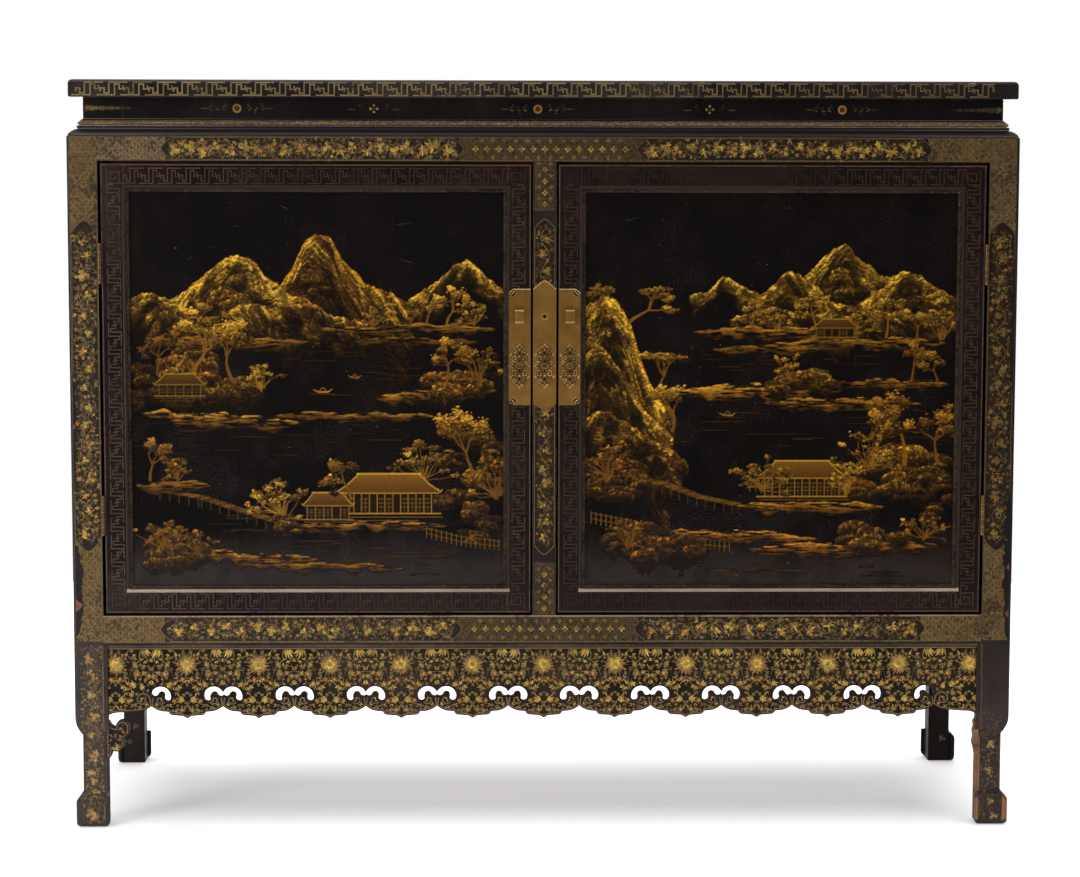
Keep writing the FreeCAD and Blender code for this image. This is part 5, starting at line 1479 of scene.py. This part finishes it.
    def pagoda(self, u, v, w, floors, light=0.7):
        """A far-off tower: two posts and an eave for each floor, and a spire."""
        for k in range(floors):
            half = w / 2 * (1 - 0.13 * k)
            z = v + k * w * 0.62
            for x in (u - half * 0.55, u + half * 0.55):
                self.line([(x, z), (x, z + w * 0.34)], 0.9, light * 0.8, 0.2)
            self.line([(u - half, z + w * 0.36), (u - half * 0.6, z + w * 0.44),
                       (u + half * 0.6, z + w * 0.44), (u + half, z + w * 0.36)], 1.7, light, 0.1)
        top = v + floors * w * 0.62
        self.line([(u, top - w * 0.2), (u, top + w * 0.35)], (1.4, 0.5), light, 0.05)

    def fence(self, points, height, light, hue=0.3):
        """Two rails along the points, on thin posts."""
        p = np.asarray(points, float)
        for lift in (0.45, 1.0):
            self.line([(x, y + height * lift) for x, y in p], 0.9, light * 0.85, hue)
        for a, b in zip(p[:-1], p[1:]):
            n = max(1, int(np.linalg.norm(b - a) / 6.5))
            for k in range(n + 1):
                x, y = a + (b - a) * k / n
                self.line([(x, y), (x, y + height * 1.12)], 0.9, light, hue)

    def deck(self, points, light, seed):
        """A plank bridge on piles."""
        rng = random.Random(seed)
        p = np.asarray(points, float)
        for a, b in zip(p[:-1], p[1:]):
            n = max(2, int(np.linalg.norm(b - a) / 4.2))
            for k in range(n):
                x, y = a + (b - a) * k / n
                self.line([(x - 7, y - 1), (x + 5, y + 1.6)], 1.5, light * rng.uniform(0.5, 1.0), 0.4)
                if k % 3 == 0:
                    self.line([(x - 6, y - 2), (x - 6, y - 13)], 1.0, light * 0.5, 0.45)

    def boat(self, u, v, size, light=0.75):
        """A small boat with an arched cover, and the line of water under it."""
        hull = [(u - size, v + size * 0.22), (u - size * 0.5, v), (u + size * 0.5, v - 0.5),
                (u + size, v + size * 0.3)]
        self.line(hull, (0.7, 2.0, 2.2, 0.6), light, 0.2)
        arch = [(u - size * 0.35 + size * 0.7 * t, v + 1 + size * 0.34 * math.sin(math.pi * t))
                for t in np.linspace(0, 1, 7)]
        self.line(arch, 1.2, light * 0.8, 0.35)
        self.line([(u - size * 1.3, v - 3), (u + size * 1.4, v - 3.2)], 0.7, light * 0.4, 0.4)

    def ripples(self, u0, u1, v0, v1, count, light, seed):
        """Short level strokes strewn over a piece of water."""
        rng = random.Random(seed)
        for _ in range(count):
            x, y = rng.uniform(u0, u1), rng.uniform(v0, v1)
            half = rng.uniform(8, 32)
            self.line([(x - half, y), (x, y + rng.uniform(-0.5, 0.5)), (x + half, y)], (0.2, 0.8, 0.2),
                      light * rng.uniform(0.4, 1.0), 0.45, 1.0)

    def rocks(self, u, v, width, height, light, hue, seed, pieces=12, lean=0.3):
        """A low heap of rock faces, from its top down."""
        rng = random.Random(seed)
        for k in range(pieces):
            t = k / pieces
            size = width * rng.uniform(0.12, 0.24)
            self.lobe(u + rng.uniform(-0.5, 0.5) * width * (0.5 + 0.5 * t), v + height * (0.72 - 0.85 * t),
                      size, size * rng.uniform(0.4, 0.75), size * rng.uniform(0.8, 1.5),
                      light * rng.uniform(0.65, 1.1), hue + rng.uniform(-0.15, 0.2), seed * 17 + k, lean)


def tone(light, hue):
    """Display colours of sprinkled gold over black, from how light it is and its hue."""
    light = np.clip(light, 0, 1.15)[..., None]
    hue = np.clip(hue, 0, 1)[..., None]
    yellow, amber, brown = np.array([222, 174, 48.0]), np.array([182, 112, 20.0]), np.array([100, 54, 14.0])
    full = np.where(hue < 0.5, yellow + (amber - yellow) * hue * 2, amber + (brown - amber) * (hue - 0.5) * 2)
    dark = np.array([14, 10, 8.0])
    return dark + (full - dark) * light ** 0.95


def left_landscape(c):
    """A double hill with a fall, islands with trees, a pagoda, and a hall by a plank bridge."""
    c.ridge([(376, 392), (414, 412), (440, 440), (462, 450), (484, 430), (508, 412), (550, 400)], 46, 0.95,
            0.12, 101)
    c.ridge([(190, 392), (214, 430), (238, 470), (256, 488), (276, 478), (292, 446), (330, 414), (392, 388)],
            104, 0.78, 0.40, 103, -0.9)
    c.massif(250, 440, 74, 60, 0.62, 0.42, 203, 9, 0.25)
    c.ridge([(10, 372), (74, 404), (112, 440), (140, 460), (166, 452), (186, 424), (222, 400), (268, 384)],
            88, 0.95, 0.26, 104)
    c.massif(146, 430, 96, 56, 0.72, 0.28, 204, 10, 0.45)
    for k in range(7):
        c.line([(206 + k * 0.9, 414 - k), (208 + k, 392), (205 + k * 1.2, 352 - 2 * k)], 0.6,
               0.40 + 0.05 * (k % 3), 0.15)
    c.ridge([(120, 372), (158, 392), (190, 382), (236, 390), (282, 372), (330, 362)], 44, 0.7, 0.34, 205,
            -0.7)
    c.ridge([(-40, 380), (-8, 396), (22, 408), (52, 398), (90, 374), (134, 352)], 52, 0.78, 0.30, 105)
    c.shore(10, 250, 338, 8, 0.66, 0.3, 106)
    c.shore(250, 505, 356, 7, 0.72, 0.22, 107)
    c.shore(300, 480, 338, 6, 0.55, 0.3, 108)
    c.pagoda(356, 360, 17, 4, 0.72)
    for k, (u, v, size, light, kind) in enumerate((
            (404, 360, 40, 0.75, "round"), (432, 358, 52, 0.8, "round"), (330, 358, 26, 0.6, "brush"),
            (470, 360, 34, 0.62, "brush"), (382, 356, 24, 0.6, "round"), (96, 352, 36, 0.62, "round"))):
        c.tree(u, v, size, 200 + k, light, 0.15, 0.1, kind)
    c.rocks(96, 262, 150, 62, 0.72, 0.45, 110, 16)
    c.rocks(30, 250, 90, 60, 0.6, 0.5, 111, 10)
    c.tree(84, 290, 92, 221, 0.82, 0.1, -0.15, "pine")
    c.tree(138, 284, 78, 222, 0.72, 0.2, 0.3, "round")
    c.tree(36, 292, 58, 223, 0.62, 0.3, 0.1, "round")
    c.tree(178, 270, 40, 224, 0.8, 0.08, 0.1, "brush")
    c.hall(66, 258, 62, 34, 7, 0.55)
    c.shore(8, 236, 240, 9, 0.85, 0.2, 112, -14)
    c.shore(190, 420, 236, 6, 0.7, 0.25, 113)
    c.shore(330, 506, 262, 9, 0.8, 0.28, 114, 10)
    c.rocks(440, 262, 110, 34, 0.75, 0.3, 115, 10)
    c.tree(432, 280, 58, 225, 0.7, 0.18, -0.2, "round")
    c.tree(476, 284, 46, 226, 0.62, 0.3, 0.1, "brush")
    c.boat(262, 268, 13, 0.75)
    c.boat(306, 288, 9, 0.55)
    c.ripples(150, 420, 262, 326, 20, 0.28, 116)
    c.ripples(20, 480, 180, 226, 26, 0.28, 117)
    c.rocks(470, 120, 110, 120, 0.66, 0.42, 118, 16, 0.2)
    c.rocks(486, 60, 90, 60, 0.6, 0.5, 119, 10)
    c.tree(468, 150, 84, 227, 0.72, 0.25, 0.2, "round")
    c.tree(500, 120, 66, 228, 0.66, 0.3, -0.1, "brush")
    c.tree(398, 142, 62, 229, 0.78, 0.18, -0.1, "brush")
    c.hall(352, 92, 128, 62, 8, 0.80)
    c.hall(268, 86, 62, 42, 9, 0.66)
    c.tree(300, 120, 60, 230, 0.7, 0.2, 0.2, "round")
    c.shore(214, 440, 84, 7, 0.72, 0.3, 120)
    c.deck([(214, 84), (150, 104), (96, 122), (30, 134)], 0.62, 5)
    c.tree(206, 92, 58, 231, 0.85, 0.12, 0.1, "brush")
    c.rocks(208, 74, 60, 26, 0.8, 0.28, 121, 8)
    c.shore(2, 110, 140, 8, 0.66, 0.35, 122)
    c.tree(24, 146, 52, 232, 0.7, 0.25, 0.15, "round")
    c.tree(62, 146, 36, 233, 0.62, 0.25, 0.0, "brush")
    c.fence([(404, 66), (452, 54), (504, 48)], 13, 0.5)
    c.shore(30, 260, 46, 8, 0.8, 0.32, 123, -8)
    c.shore(140, 380, 30, 6, 0.7, 0.4, 124, -6)
    c.rocks(60, 28, 120, 40, 0.66, 0.5, 125, 14)
    c.tree(40, 50, 46, 234, 0.66, 0.4, -0.2, "brush")
    c.tree(88, 44, 34, 235, 0.6, 0.45, 0.2, "brush")
    c.ripples(230, 500, 14, 60, 22, 0.4, 126)
    c.ripples(120, 260, 60, 100, 10, 0.3, 127)


def right_landscape(c):
    """A tall cliff with a leaning pine, far ridges, long bars of land and a lakeside hall."""
    c.ridge([(268, 402), (306, 430), (334, 462), (354, 472), (376, 452), (402, 430), (450, 410)], 84, 0.92,
            0.22, 151)
    c.massif(350, 440, 76, 44, 0.66, 0.24, 251, 8, 0.4)
    c.ridge([(214, 384), (250, 410), (276, 438), (300, 428), (330, 398), (376, 384)], 66, 0.74, 0.34, 152,
            -0.8)
    c.ridge([(366, 384), (404, 414), (436, 436), (464, 424), (506, 400), (560, 392)], 70, 0.8, 0.32, 153)
    c.ridge([(140, 400), (172, 410), (196, 430), (214, 416), (262, 396)], 30, 0.95, 0.10, 154)
    c.ridge([(190, 366), (250, 384), (318, 376), (380, 386), (448, 372), (506, 380), (560, 372)], 36, 0.66,
            0.36, 155, -0.6)
    c.shore(140, 420, 352, 8, 0.78, 0.24, 156)
    c.shore(250, 506, 336, 9, 0.7, 0.3, 157)
    c.shore(170, 330, 328, 6, 0.6, 0.3, 158)
    for k, (u, v, size, light, kind) in enumerate((
            (230, 356, 40, 0.7, "round"), (262, 354, 30, 0.66, "brush"), (318, 356, 46, 0.76, "round"),
            (372, 350, 36, 0.62, "brush"), (414, 344, 52, 0.74, "round"), (456, 342, 38, 0.6, "round"),
            (490, 340, 44, 0.6, "brush"))):
        c.tree(u, v, size, 300 + k, light, 0.16, 0.05, kind)
    c.hall(344, 340, 56, 28, 17, 0.5)
    c.ridge([(-40, 340), (-8, 376), (12, 396), (28, 404), (44, 398), (58, 372), (70, 330), (82, 296),
             (100, 262), (128, 232)], 150, 0.86, 0.34, 160, 0.25, 7.0)
    c.ridge([(-40, 290), (-6, 322), (18, 330), (34, 318), (52, 286), (66, 262), (92, 236), (124, 200)], 96,
            0.80, 0.30, 260, 0.4, 6.0)
    c.ridge([(-40, 206), (0, 232), (28, 240), (50, 232), (78, 206), (112, 196), (146, 168)], 60, 0.72, 0.40,
            261, 0.5, 6.0)
    c.tree(62, 366, 66, 321, 0.76, 0.12, -0.75, "pine")
    c.tree(98, 262, 70, 322, 0.72, 0.2, -0.6, "pine")
    c.tree(26, 372, 44, 323, 0.6, 0.25, 0.3, "round")
    c.tree(120, 214, 60, 324, 0.76, 0.18, -0.3, "round")
    c.shore(120, 360, 268, 11, 0.92, 0.18, 162, 6)
    c.shore(240, 470, 254, 8, 0.8, 0.25, 163)
    c.shore(330, 506, 280, 7, 0.66, 0.3, 164)
    c.rocks(300, 272, 110, 26, 0.7, 0.3, 165, 8)
    c.tree(282, 284, 36, 325, 0.7, 0.2, 0.0, "brush")
    c.tree(450, 284, 50, 326, 0.66, 0.25, 0.1, "round")
    c.tree(486, 282, 40, 327, 0.62, 0.3, 0.0, "round")
    c.boat(196, 236, 12, 0.6)
    c.ripples(120, 500, 190, 246, 26, 0.26, 166)
    c.ripples(140, 480, 296, 322, 14, 0.26, 167)
    c.rocks(430, 128, 150, 74, 0.78, 0.40, 168, 16)
    c.rocks(486, 100, 80, 90, 0.66, 0.5, 169, 10)
    c.tree(442, 168, 96, 328, 0.82, 0.25, -0.1, "round")
    c.tree(488, 170, 74, 329, 0.7, 0.32, 0.1, "round")
    c.tree(392, 160, 56, 330, 0.74, 0.25, -0.25, "brush")
    c.hall(300, 116, 112, 56, 18, 0.72)
    c.pagoda(232, 130, 15, 3, 0.5)
    c.tree(244, 130, 52, 331, 0.7, 0.22, 0.1, "brush")
    c.tree(362, 126, 46, 332, 0.76, 0.2, 0.1, "brush")
    c.shore(200, 420, 110, 8, 0.8, 0.28, 170)
    c.deck([(210, 112), (160, 122), (112, 140), (66, 150)], 0.6, 6)
    c.rocks(40, 120, 110, 60, 0.66, 0.5, 171, 14)
    c.tree(30, 146, 60, 333, 0.7, 0.35, 0.1, "brush")
    c.fence([(8, 86), (70, 74), (140, 52), (200, 46)], 14, 0.5)
    c.shore(60, 330, 74, 8, 0.9, 0.34, 172, -10)
    c.shore(220, 500, 50, 9, 0.85, 0.36, 173, 6)
    c.rocks(90, 40, 150, 40, 0.62, 0.55, 174, 12)
    c.rocks(400, 52, 120, 34, 0.7, 0.42, 175, 10)
    c.tree(60, 52, 44, 334, 0.6, 0.45, 0.1, "brush")
    c.ripples(180, 420, 12, 44, 20, 0.42, 176)
    c.tree(470, 62, 40, 335, 0.66, 0.35, 0.0, "brush")


def build_landscape(name, body, x0, draw):
    """Lays a canvas on the door panel as two sheets of paint, only where there is gold."""
    c = Canvas(MOULD_X[1] - MOULD_X[0] - 2 * PANEL_INSET, MOULD_Z[1] - MOULD_Z[0] - 2 * PANEL_INSET, CELL)
    draw(c)
    color = linear((tone(c.light, c.hue) / 255).clip(0, 1))
    color = np.concatenate([color, np.clip(c.light * 1.15, 0, 1)[..., None]], 2)
    painted = c.light > 0.035
    cell = painted[:-1, :-1] | painted[1:, :-1] | painted[:-1, 1:] | painted[1:, 1:]
    rows, cols = painted.shape
    index = np.arange(rows * cols).reshape(rows, cols)
    u, v = np.meshgrid(c.u, c.v)
    for part, first, last in (("lower", 0, rows // 2), ("upper", rows // 2, rows - 1)):
        j, i = np.nonzero(cell[first:last])
        j = j + first
        quads = np.stack([index[j, i], index[j, i + 1], index[j + 1, i + 1], index[j + 1, i]], 1)
        used, faces = np.unique(quads, return_inverse=True)
        points = np.stack([(x0 + u.ravel()[used]) * MM, np.full(len(used), (PANEL_Y - 0.08) * MM),
                           (MOULD_Z[0] + PANEL_INSET + v.ravel()[used]) * MM], 1)
        mesh = bpy.data.meshes.new(name + "_" + part)
        mesh.vertices.add(len(used))
        mesh.vertices.foreach_set("co", points.astype(np.float32).ravel())
        mesh.loops.add(faces.size)
        mesh.loops.foreach_set("vertex_index", faces.astype(np.int32).ravel())
        mesh.polygons.add(faces.size // 4)
        mesh.polygons.foreach_set("loop_start", np.arange(0, faces.size, 4, dtype=np.int32))
        mesh.update(calc_edges=True)
        add_piece(mesh, body, GOLD_SHEET, paint=color.reshape(-1, 4)[used])


# ---------------------------------------------------------------- chased ornament on the lock plates
CHASED = (200, 160, 96, 1.0)
# SHADED_RIM is painted shade on the rim's lower runs; CHASED_LIGHT is also a painted highlight on its upper
# runs
SHADED_RIM = (120, 86, 44, 1.0)
CHASED_LIGHT = (214, 190, 148, 1.0)
PIERCED = (40, 27, 15, 0.2)


# Places are from the plate's middle. A round slot or bead has its radius, and a scroll its radius, first
# angle and way of turning. An arc round a cut corner has its radius and width.
SLOTS = ((0, 7, 1.7), (0, -7, 1.7), (0, 17.5, 1.9), (0, -17.5, 1.9), (5.5, 0, 1.3), (-5.5, 0, 1.3),
         (9.5, 9, 1.2), (-9.5, 9, 1.2), (9.5, -9, 1.2), (-9.5, -9, 1.2), (4.6, 26, 1.0), (-4.6, 26, 1.0),
         (4.6, -26, 1.0), (-4.6, -26, 1.0))
SCROLLS = ((6.6, 10.5, 4.6, -1.9, 1), (6.2, 20.5, 3.7, 1.7, -1), (9.8, 3.6, 2.9, 2.6, -1),
           (3.0, 26.0, 2.3, -0.6, 1))
BEADS = ((0, 29.2, 1.5), (-2.6, 27.4, 1.1), (2.6, 27.4, 1.1), (0, 13.2, 1.2), (0, 22.6, 1.2))
CORNER_ARCS = ((6.4, 2.6, PIERCED), (11.0, 2.2, PIERCED), (4.6, 0.7, CHASED), (8.6, 0.8, CHASED_LIGHT),
               (12.6, 0.6, CHASED))


def spiral(x, z, r, start, turn, rounds=1.15, steps=22):
    """Points along a coil that winds in round (x, z) from the radius r."""
    return [(x + r * (1 - 0.78 * k / steps) * math.cos(start + turn * rounds * TAU * k / steps),
             z + r * (1 - 0.78 * k / steps) * math.sin(start + turn * rounds * TAU * k / steps))
            for k in range(steps + 1)]


def plate_ornament(name, body, x, corners, rim):
    """A pierced scroll ornament, slots in the corners and a raised rim, pale as a painted highlight
    along the upper edge and dimmer as painted shade lower down.
    """
    p = Paint(name, body, "front", PLATE_FACE, 71, RELIEF, "brass_fittings")
    z = PLATE_MIDDLE_Z
    p.fill([(x + 12.6 * math.cos(q) * (1 - 0.16 * math.cos(4 * q)),
             z + 27.0 * math.sin(q) * (1 + 0.06 * math.cos(6 * q))) for q in np.linspace(0, TAU, 49)[:-1]],
           (112, 80, 40, 1.0), 0.03)
    for dx, dz, r in SLOTS:
        p.disc(x + dx, z + dz, r, PIERCED, 0.06)
    for sx in (-1, 1):
        for sz in (-1, 1):
            for cx, cz, r, start, way in SCROLLS:
                run = [(x + sx * a, z + sz * b) for a, b in spiral(cx, cz, r, start, way)]
                p.stroke(run, 2.7, PIERCED, 0.06)
                p.stroke(run, 1.5, CHASED, 0.1, ridge=0.7)
            p.leaf(x + sx * 11.2, z + sz * 13.5, (0.5 if sx > 0 else math.pi - 0.5) * sz, 3.6, 2.2, CHASED, 0,
                   0.3)
        p.disc(x + sx * 13.2, z, 0.9, CHASED_LIGHT, 0.4)
    oval = [(x + 5.0 * a, z + 3.2 * b) for a, b in ring(0, 0, 1, 24, 1)]
    p.stroke(oval, 1.9, PIERCED, 0.08)
    p.stroke(oval, 1.0, CHASED, 0.1, ridge=0.6)
    for sz in (-1, 1):
        for dx, dz, r in BEADS:
            p.disc(x + dx, z + sz * dz, r, CHASED, 0.42, 10)
    for cx, cz, sx, sz in corners:
        for r, width, color in CORNER_ARCS:
            arc = [(cx - sx * r * math.cos(q), cz - sz * r * math.sin(q)) for q in np.linspace(0.42, 1.15, 9)]
            p.stroke(arc, width, color, 0.09 if color is PIERCED else 0.14, taper=color is PIERCED)
    # painted shadow: a dark patch on the plate where the staple's loop stands
    if corners:
        p.fill(rectangle(x - 5.2, x + 5.2, 706.5, 715.5), (78, 54, 28, 1.0), 0.05)
    # the rim's colours are painted light: pale along the top, dimmer lower down
    for run, color in rim:
        p.stroke(run, 0.9, color, 0.1, ridge=0.35)
    p.build()


def ornament_plates():
    """Each door's plate, with cut corners at its outer side, and the muntin's, which rises to a point."""
    (x0, x1), _, (low, high) = span("right_door_lock_plate")
    inset, cut = 0.7, 6.0
    for side, body in DOORS:
        a, b = side * (x0 + inset), side * (x1 - inset)
        corners = [(side * x1, high, side, 1), (side * x1, low, side, -1)]
        top = [(a, high - inset), (b - side * cut, high - inset), (b, high - cut - inset)]
        bottom = [(b, low + cut + inset), (b - side * cut, low + inset), (a, low + inset)]
        # the rim: a painted highlight along the top, painted shade down the outer side and along the bottom
        plate_ornament(body + "_plate_scrolls", body, side * (x0 + x1) / 2, corners,
                       ((top, CHASED_LIGHT), ([top[-1], bottom[0]], SHADED_RIM), (bottom, SHADED_RIM)))
    half, high = span("centre_lock_plate")[0][1] - inset, span("centre_lock_plate")[2][1]
    peak = [(-half, 750.0 - inset), (-half * 0.86, 751.5), (-half * 0.45, 757.0), (0, high - 1.2),
            (half * 0.45, 757.0), (half * 0.86, 751.5), (half, 750.0 - inset)]
    keyhole = ring(0, 712, 4.6, 20, 1)
    # the peak's pale rim is a painted highlight
    plate_ornament("centre_plate_scrolls", "case", 0.0, (), ((peak, CHASED_LIGHT), (keyhole, CHASED)))


# ---------------------------------------------------------------- worn and chipped places
def worn_places():
    """Bare lacquer along the lower post edges, and small chips down to the wood."""
    p = Paint("front_wear", "case", "front", FRONT, 81, GOLD_WORN)
    rng = p.rng
    for side, low, high, reach in ((-1, 268, 398, 13.0), (1, 262, 470, 11.0), (-1, 470, 640, 4.0),
                                   (1, 600, 800, 3.5)):
        outer = side * (HALF - 4.0)
        steps = int((high - low) / 5)
        edge = []
        for q in [k / steps for k in range(steps + 1)]:
            wide = reach * math.sin(math.pi * q) ** 0.5 * rng.uniform(0.55, 1.0)
            edge.append((outer - side * wide, low + (high - low) * q))
        p.fill(edge + [(outer, high), (outer, low)], (30, 25, 25, 0.0), 0.20)
    for side, z, w, h in ((-1, 313, 10, 17), (-1, 560, 3, 8), (1, 505, 3.5, 10), (1, 365, 4, 9),
                          (-1, 724, 2.5, 6), (1, 300, 5, 12)):
        x = side * (HALF - 4.2)
        p.fill([(x, z - h / 2), (x - side * w * 0.35, z - h * 0.42), (x - side * w, z + h * 0.05),
                (x - side * w * 0.5, z + h * 0.22), (x, z + h / 2)], BARE, 0.24)
    for _ in range(26):
        x = rng.uniform(-600, 600)
        z = rng.choice((rng.uniform(924, 956), rng.uniform(260, 297)))
        r = rng.uniform(0.5, 1.3)
        p.disc(x, z, r, rng.choice((BARE, (96, 84, 74, 0.0), (88, 62, 48, 0.0))), 0.22, 6)
    p.build()
    p = Paint("top_edge_wear", "case", "front", TOP_FACE, 82, GOLD_WORN)
    p.warp = edge_warp("front")
    for x, b, w, h, color in ((583, 17.5, 11, 5, (150, 138, 124, 0.0)), (612, 18, 4, 3, BARE),
                              (-402, 19, 6, 3, BARE), (-120, 19.4, 4, 2.4, BARE), (214, 19, 7, 2.6, BARE),
                              (470, 1, 6, 2.6, BARE)):
        p.fill([(x - w / 2, b - h * 0.1), (x - w * 0.2, b - h / 2), (x + w * 0.3, b - h * 0.35),
                (x + w / 2, b + h * 0.2), (x + w * 0.1, b + h / 2), (x - w * 0.35, b + h * 0.3)], color, 0.16)
    p.build()


def sky_specks():
    """Small losses and rubs in the dark of the panels."""
    for side, body in DOORS:
        p = Paint(body + "_specks", body, "front", PANEL_Y, 90 + side, GOLD_SHEET)
        rng = p.rng
        for _ in range(46):
            x = side * rng.uniform(MOULD_X[0] + 14, MOULD_X[1] - 14)
            z = rng.uniform(MOULD_Z[0] + 14, MOULD_Z[1] - 12)
            gray = rng.uniform(52, 104)
            p.disc(x, z, rng.uniform(0.4, 1.0), (gray, gray * 0.95, gray * 0.92, 0.0), 0.12, 5)
        for _ in range(9):
            x = side * rng.uniform(MOULD_X[0] + 30, MOULD_X[1] - 40)
            z = rng.uniform(MOULD_Z[0] + 20, MOULD_Z[1] - 20)
            angle, reach = rng.uniform(-0.5, 0.5), rng.uniform(6, 22)
            p.stroke([(x, z), (x + reach * math.cos(angle), z + reach * math.sin(angle))], 0.5,
                     (62, 56, 54, 0.0), 0.11)
        p.build()


build_landscape("left_door_landscape", "left_door", -MOULD_X[1] + PANEL_INSET, left_landscape)
build_landscape("right_door_landscape", "right_door", MOULD_X[0] + PANEL_INSET, right_landscape)
for paint in (ornament_plates, worn_places, sky_specks, paint_top_edge, paint_neck, paint_front, paint_aprons,
              paint_legs, wear_legs, paint_bracket, paint_ends, paint_top, paint_doors, sight_beads):
    paint()


# ---------------------------------------------------------------- camera, light and floor
def camera():
    """A long lens in front of the cabinet, a little below its top, looking slightly down."""
    data = bpy.data.cameras.new("camera")
    data.sensor_width, data.lens = 36.0, 85.65
    data.clip_end = 60
    pitch, yaw, roll = math.radians(5.4656), math.radians(-1.2211), math.radians(0.1126)
    base = Matrix(((1, 0, 0), (0, 0, -1), (0, 1, 0)))
    tilt = Matrix.Rotation(roll, 3, "Z") @ Matrix.Rotation(pitch, 3, "X")
    turn = tilt @ Matrix.Rotation(yaw, 3, "Y") @ base
    axes = Matrix((turn[0], -turn[1], -turn[2])).transposed()
    obj = add_object("camera", data)
    obj.matrix_world = Matrix.Translation((-0.0811, -3.7389, 0.8809)) @ axes.to_4x4()
    bpy.context.scene.camera = obj


def area(name, place, target, size, power, color=(1, 1, 1)):
    """A rectangular light that faces a target."""
    data = bpy.data.lights.new(name, "AREA")
    data.shape, data.size, data.size_y = "RECTANGLE", *size
    data.energy, data.color = power, color
    obj = add_object(name, data)
    obj.location = place
    obj.rotation_euler = (Vector(target) - Vector(place)).to_track_quat("-Z", "Y").to_euler()


def studio():
    """A wide soft light overhead, small fills all round, and a white backdrop that gives little light."""
    area("overhead", (0.0, 0.1, 3.6), (0, 0, 0), (6.6, 6.2), 235)
    area("left_fill", (-3.1, -3.0, 1.4), (0, 0, 0.5), (1.4, 2.0), 56, (1.0, 0.98, 0.97))
    area("right_fill", (3.1, -3.0, 1.4), (0, 0, 0.5), (1.4, 2.0), 6, (1.0, 0.98, 0.97))
    area("left_low", (-2.3, -2.2, 0.4), (-0.2, -0.1, 0.0), (1.0, 0.5), 9)
    area("right_low", (2.3, -2.2, 0.4), (0.2, -0.1, 0.0), (1.0, 0.5), 6)
    area("back_low", (0, 2.6, 0.45), (0, 0, 0.0), (3.0, 0.5), 30)
    area("back_fill", (0.5, 3.6, 2.0), (0, 0, 0.5), (3.0, 2.0), 45)
    world = bpy.data.worlds.new("studio")
    world.use_nodes = True
    bpy.context.scene.world = world
    n = Nodes(world.node_tree)
    path = n.node("ShaderNodeLightPath").outputs
    strength = n.node("ShaderNodeMapRange", {"Value": path["Is Diffuse Ray"], "To Min": 0.12, "To Max": 0.46})
    dim = n.node("ShaderNodeBackground", {"Color": (0.80, 0.81, 0.83, 1), "Strength": strength.outputs[0]})
    pale = n.node("ShaderNodeBackground", {"Color": (1, 1, 1, 1), "Strength": 1.0})
    both = n.node("ShaderNodeMixShader", {0: path["Is Camera Ray"], 1: dim.outputs[0], 2: pale.outputs[0]})
    n.node("ShaderNodeOutputWorld", {0: both.outputs[0]})


def floor():
    """A pale disc in three rings, with a faint glow of its own."""
    sides, radii = 96, (0.8, 1.6, 2.3)
    points = [(0, 0, 0)] + [(x, y, 0) for r in radii for x, y in ring(0, 0, r, sides)]
    faces = []
    for i in range(sides):
        j = (i + 1) % sides
        faces.append((0, 1 + i, 1 + j))
        for a in range(1, 1 + sides * (len(radii) - 1), sides):
            faces.append((a + i, a + sides + i, a + sides + j, a + j))
    mesh = bpy.data.meshes.new("floor")
    mesh.from_pydata(points, [], faces)
    m = Mat("floor")
    color = m.mix(m.noise(3.0, 3.0), (0.90, 0.90, 0.90, 1), (0.93, 0.93, 0.93, 1))
    mesh.materials.append(m.surface(color, 0.9, 0.1, glow=0.245))
    add_object("floor", mesh)


camera()
studio()
floor()
bpy.context.scene.view_settings.view_transform = "Standard"
bpy.context.scene.view_settings.look = "None"
